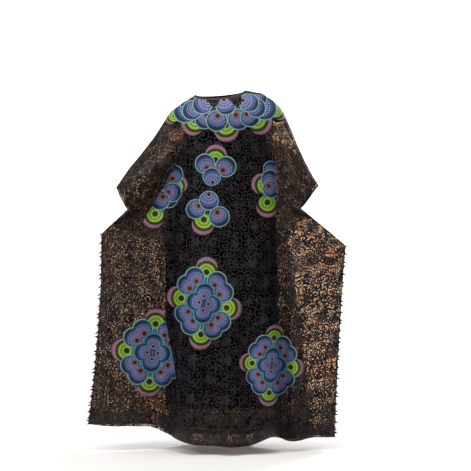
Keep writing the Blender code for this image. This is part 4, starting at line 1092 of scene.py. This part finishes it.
for side, label in SIDES:
    circles = (YOKE_FRONT, YOKE_BACK)[side]
    clear = YOKE_CLEAR[side]
    gaps = (YOKE_GAPS, ())[side]
    neck_x, neck_z = outline(np.linspace(NECK_FROM, NECK_TO, 60), np.zeros(60), side)

    def yoke_at(u, v):
        """A point of the yoke: from the neckline out to its scallops, shoulder to shoulder."""
        angle = pi + YOKE_ENDS[0] + (pi - sum(YOKE_ENDS)) * u
        ux, uz = np.cos(angle), np.sin(angle)
        outer = edge_reach(YOKE_MIDDLE, circles, angle, YOKE_LEAST, ())
        ray = np.linspace(0, YOKE_SEARCH, 400)[:, None]
        below = YOKE_MIDDLE[1] + ray * uz < np.interp(YOKE_MIDDLE[0] + ray * ux, neck_x, neck_z) - clear
        inner = np.where(below.any(axis=0), ray[below.argmax(axis=0), 0], YOKE_SEARCH)
        ends = np.where(ux > 0, neck_x[-1] - YOKE_MIDDLE[0], YOKE_MIDDLE[0] - neck_x[0]) + clear
        inner = np.minimum(inner, ends / np.maximum(np.abs(ux), 0.001))
        for _, gx, gz, across, up in gaps:      # past the far side of a gap's oval
            ox, oz = YOKE_MIDDLE[0] - gx, YOKE_MIDDLE[1] - gz
            a = (ux / across) ** 2 + (uz / up) ** 2
            b = ox * ux / across ** 2 + oz * uz / up ** 2
            c = (ox / across) ** 2 + (oz / up) ** 2 - 1
            inside = b * b - a * c
            past = (np.sqrt(np.maximum(inside, 0)) - b) / a
            inner = np.where(inside > 0, np.maximum(inner, past), inner)
        reach = inner + (outer - inner) * v
        x, z = YOKE_MIDDLE[0] + reach * ux, YOKE_MIDDLE[1] + reach * uz
        shoulder = np.interp(x, ARM_X, ARM_Z) - SEAM
        z = np.where((u < YOKE_TIP) | (u > 1 - YOKE_TIP), shoulder, np.minimum(z, shoulder))
        return drape(x, z, side, PRINT_LIFT)

    finish = printed_cotton(
        f"wax_printed_cotton_yoke_{label}", lobes_of((*circles, *INNER_LOBES), YOKE_MIDDLE), NAVY)
    piece = cloth(f"print_yoke_{label}", finish, yoke_at, (1, 1), PRINT, side, across=300, down=20)
    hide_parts(f"yoke_{label}")
    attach(piece, "root")

# ======== side edging
# Pointed eyelash edging, a narrow cord strip with soft tufts, sewn down both sides from where the
# hands hold the cloth to the hem. The tufts are uneven, as the cut lace is.

EDGING_FROM = 0.306     # share of the side edge where the hand lets it go
TUFTS = 175             # on each side
TUFT_ROOT, TUFT_TIP = 0.0052, 0.0005    # how far round
TUFT_SHORT, TUFT_LONG, TUFT_UNEVEN = 0.006, 0.016, 0.006
CORE, CORE_OUT = 0.0022, 0.0008         # the strip the tufts stand on, set out from the seam
# Cut polyester tufts: matt, hairy and a little greyer than the cord.
FIBRES = 500.0          # tangled over about 2 mm
TUFTED, tree = fresh("black_eyelash_lace_edging")
at = add(tree, "TexCoord", out="Object")
fibres = add(tree, "TexNoise", {"Vector": at, "Scale": FIBRES, "Detail": 4.0})
shade = add(tree, "Mix", {0: fibres, 6: "#141014", 7: "#2C262A"}, 2, data_type="RGBA")
bump = add(tree, "Bump", {"Strength": 0.4, "Distance": 0.0006, "Height": fibres})
body = add(tree, "BsdfPrincipled", {
    "Base Color": shade, "Roughness": 0.8, "Specular IOR Level": 0.2, "Normal": bump, "IOR": 1.5})
add(tree, "OutputMaterial", (body,))


def spike(bm, middle, along, length, root, tip, segments):
    """A round length of cord, from its root to its tip, about a middle."""
    turned = Vector((0, 0, 1)).rotation_difference(along).to_matrix().to_4x4()
    bmesh.ops.create_cone(
        bm, cap_ends=True, segments=segments, radius1=root, radius2=tip, depth=length,
        matrix=Matrix.Translation(middle) @ turned)


for label, end, way in (("left", 0, -1), ("right", 1, 1)):
    bm = bmesh.new()
    x, z = outline(np.full(TUFTS, end), np.linspace(EDGING_FROM, 1, TUFTS), FRONT)
    for k, root in enumerate(map(Vector, zip(x, sway(x, z), z))):
        long = (k * 5) % 17 < 3     # a bunch of longer ones every few centimetres
        length = (TUFT_LONG if long else TUFT_SHORT) + TUFT_UNEVEN * abs(sin(k * 2.39))
        lie = Vector((way, 0.35 * sin(k * 1.7), -0.35 + 0.3 * sin(k * 0.9))).normalized()
        middle = root + Vector((way * length / 2, 0, 0))
        spike(bm, middle, lie, length, TUFT_ROOT / (1 if long else 2), TUFT_TIP, 5)
        if k:
            middle = (root + before) / 2 + Vector((way * CORE_OUT, 0, 0))
            spike(bm, middle, root - before, (root - before).length * 1.1, CORE, CORE, 6)
        before = root
    piece = finished(bm, bpy.data.meshes.new(f"eyelash_{label}"), TUFTED)
    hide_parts(f"edging_{label}")
    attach(piece, "root")

for side, label in SIDES:
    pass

# ======== studio
# A plain pale floor that sweeps up behind, soft light from both sides, and a long lens.

PAPER_WIDE, PAPER_LONG, PAPER_FRONT, PAPER_LEVEL = 24, 20, -4.5, -1.53
BEND_FROM, BEND_RUN, BEND_HIGH = 13.0, 2.5, 1.6     # where, and over what length and height, it bends
# Matt white paper, very faintly mottled.
PAPER, tree = fresh("studio_paper")
at = add(tree, "TexCoord", out="Object")
mottle = add(tree, "TexNoise", {"Vector": at, "Scale": 3.0})
shade = add(tree, "Mix", {0: mottle, 6: "#F1EFEC", 7: "#F6F4F1"}, 2, data_type="RGBA")
body = add(tree, "BsdfPrincipled", {"Base Color": shade, "Roughness": 0.9})
add(tree, "OutputMaterial", (body,))
bm = bmesh.new()
bmesh.ops.create_grid(bm, x_segments=1, y_segments=72, size=0.5)
for vert in bm.verts:
    along = (vert.co.y + 0.5) * PAPER_LONG
    bend = min(max(along - BEND_FROM, 0) / BEND_RUN, 1) * pi / 2
    rise = BEND_HIGH * (1 - cos(bend)) + max(along - (BEND_FROM + BEND_RUN), 0)
    back = PAPER_FRONT + min(along, BEND_FROM) + BEND_HIGH * sin(bend)
    vert.co = Vector((vert.co.x * PAPER_WIDE, back, PAPER_LEVEL + rise))
finished(bm, bpy.data.meshes.new("studio_floor"), PAPER)

world = bpy.data.worlds.new("studio")
bpy.context.scene.world = world
world.use_nodes = True
background = world.node_tree.nodes["Background"].inputs
background["Color"].default_value = (1, 1, 1, 1)
background["Strength"].default_value = 0.30
LIGHTS = (
    # name,            x,    y,    z,   at x, at y, at z, size, watts
    ("key",          -3.2, -3.0,  1.5,   0.0,  0.0, -0.6,  1.6,   95),
    ("fill",          2.8, -3.4,  0.4,   0.2,  0.0, -0.8,  2.4,   14),
    ("floor",         0.0, -0.6,  2.8,   0.0,  0.9, -1.5,  2.4,  120),
    ("backdrop",     -2.4,  5.6,  2.8,  -2.2,  9.6,  0.2,  2.0,   60),
    ("backdrop side", 4.6,  5.6,  0.6,   3.2, 10.1,  0.2,  1.0,  760),
    ("far floor",     2.6,  4.6,  1.6,   2.2,  4.8, -1.5,  1.6,  430),
)
for name, x, y, z, at_x, at_y, at_z, size, watts in LIGHTS:
    light = bpy.data.lights.new(name, "AREA")
    light.size = size
    light.energy = watts
    lamp = bpy.data.objects.new(name, light)
    lamp.location = (x, y, z)
    lamp.rotation_euler = (Vector((at_x, at_y, at_z)) - lamp.location).to_track_quat("-Z", "Y").to_euler()
    bpy.context.scene.collection.objects.link(lamp)
bpy.context.scene.view_settings.view_transform = "Standard"

PIXEL = 0.0043          # metres at the robe
FRAME = 471             # pixels each way
MIDDLE = (221, 93)      # where the origin stands in the frame
DISTANCE = 7.5
camera = bpy.data.cameras.new("camera")
camera.sensor_width = 36
camera.lens = 36 * DISTANCE / (FRAME * PIXEL)
eye = bpy.data.objects.new("camera", camera)
eye.location = ((FRAME / 2 - MIDDLE[0]) * PIXEL, -DISTANCE, (MIDDLE[1] - FRAME / 2) * PIXEL)
eye.rotation_euler = (pi / 2, 0, 0)
bpy.context.scene.collection.objects.link(eye)
bpy.context.scene.camera = eye
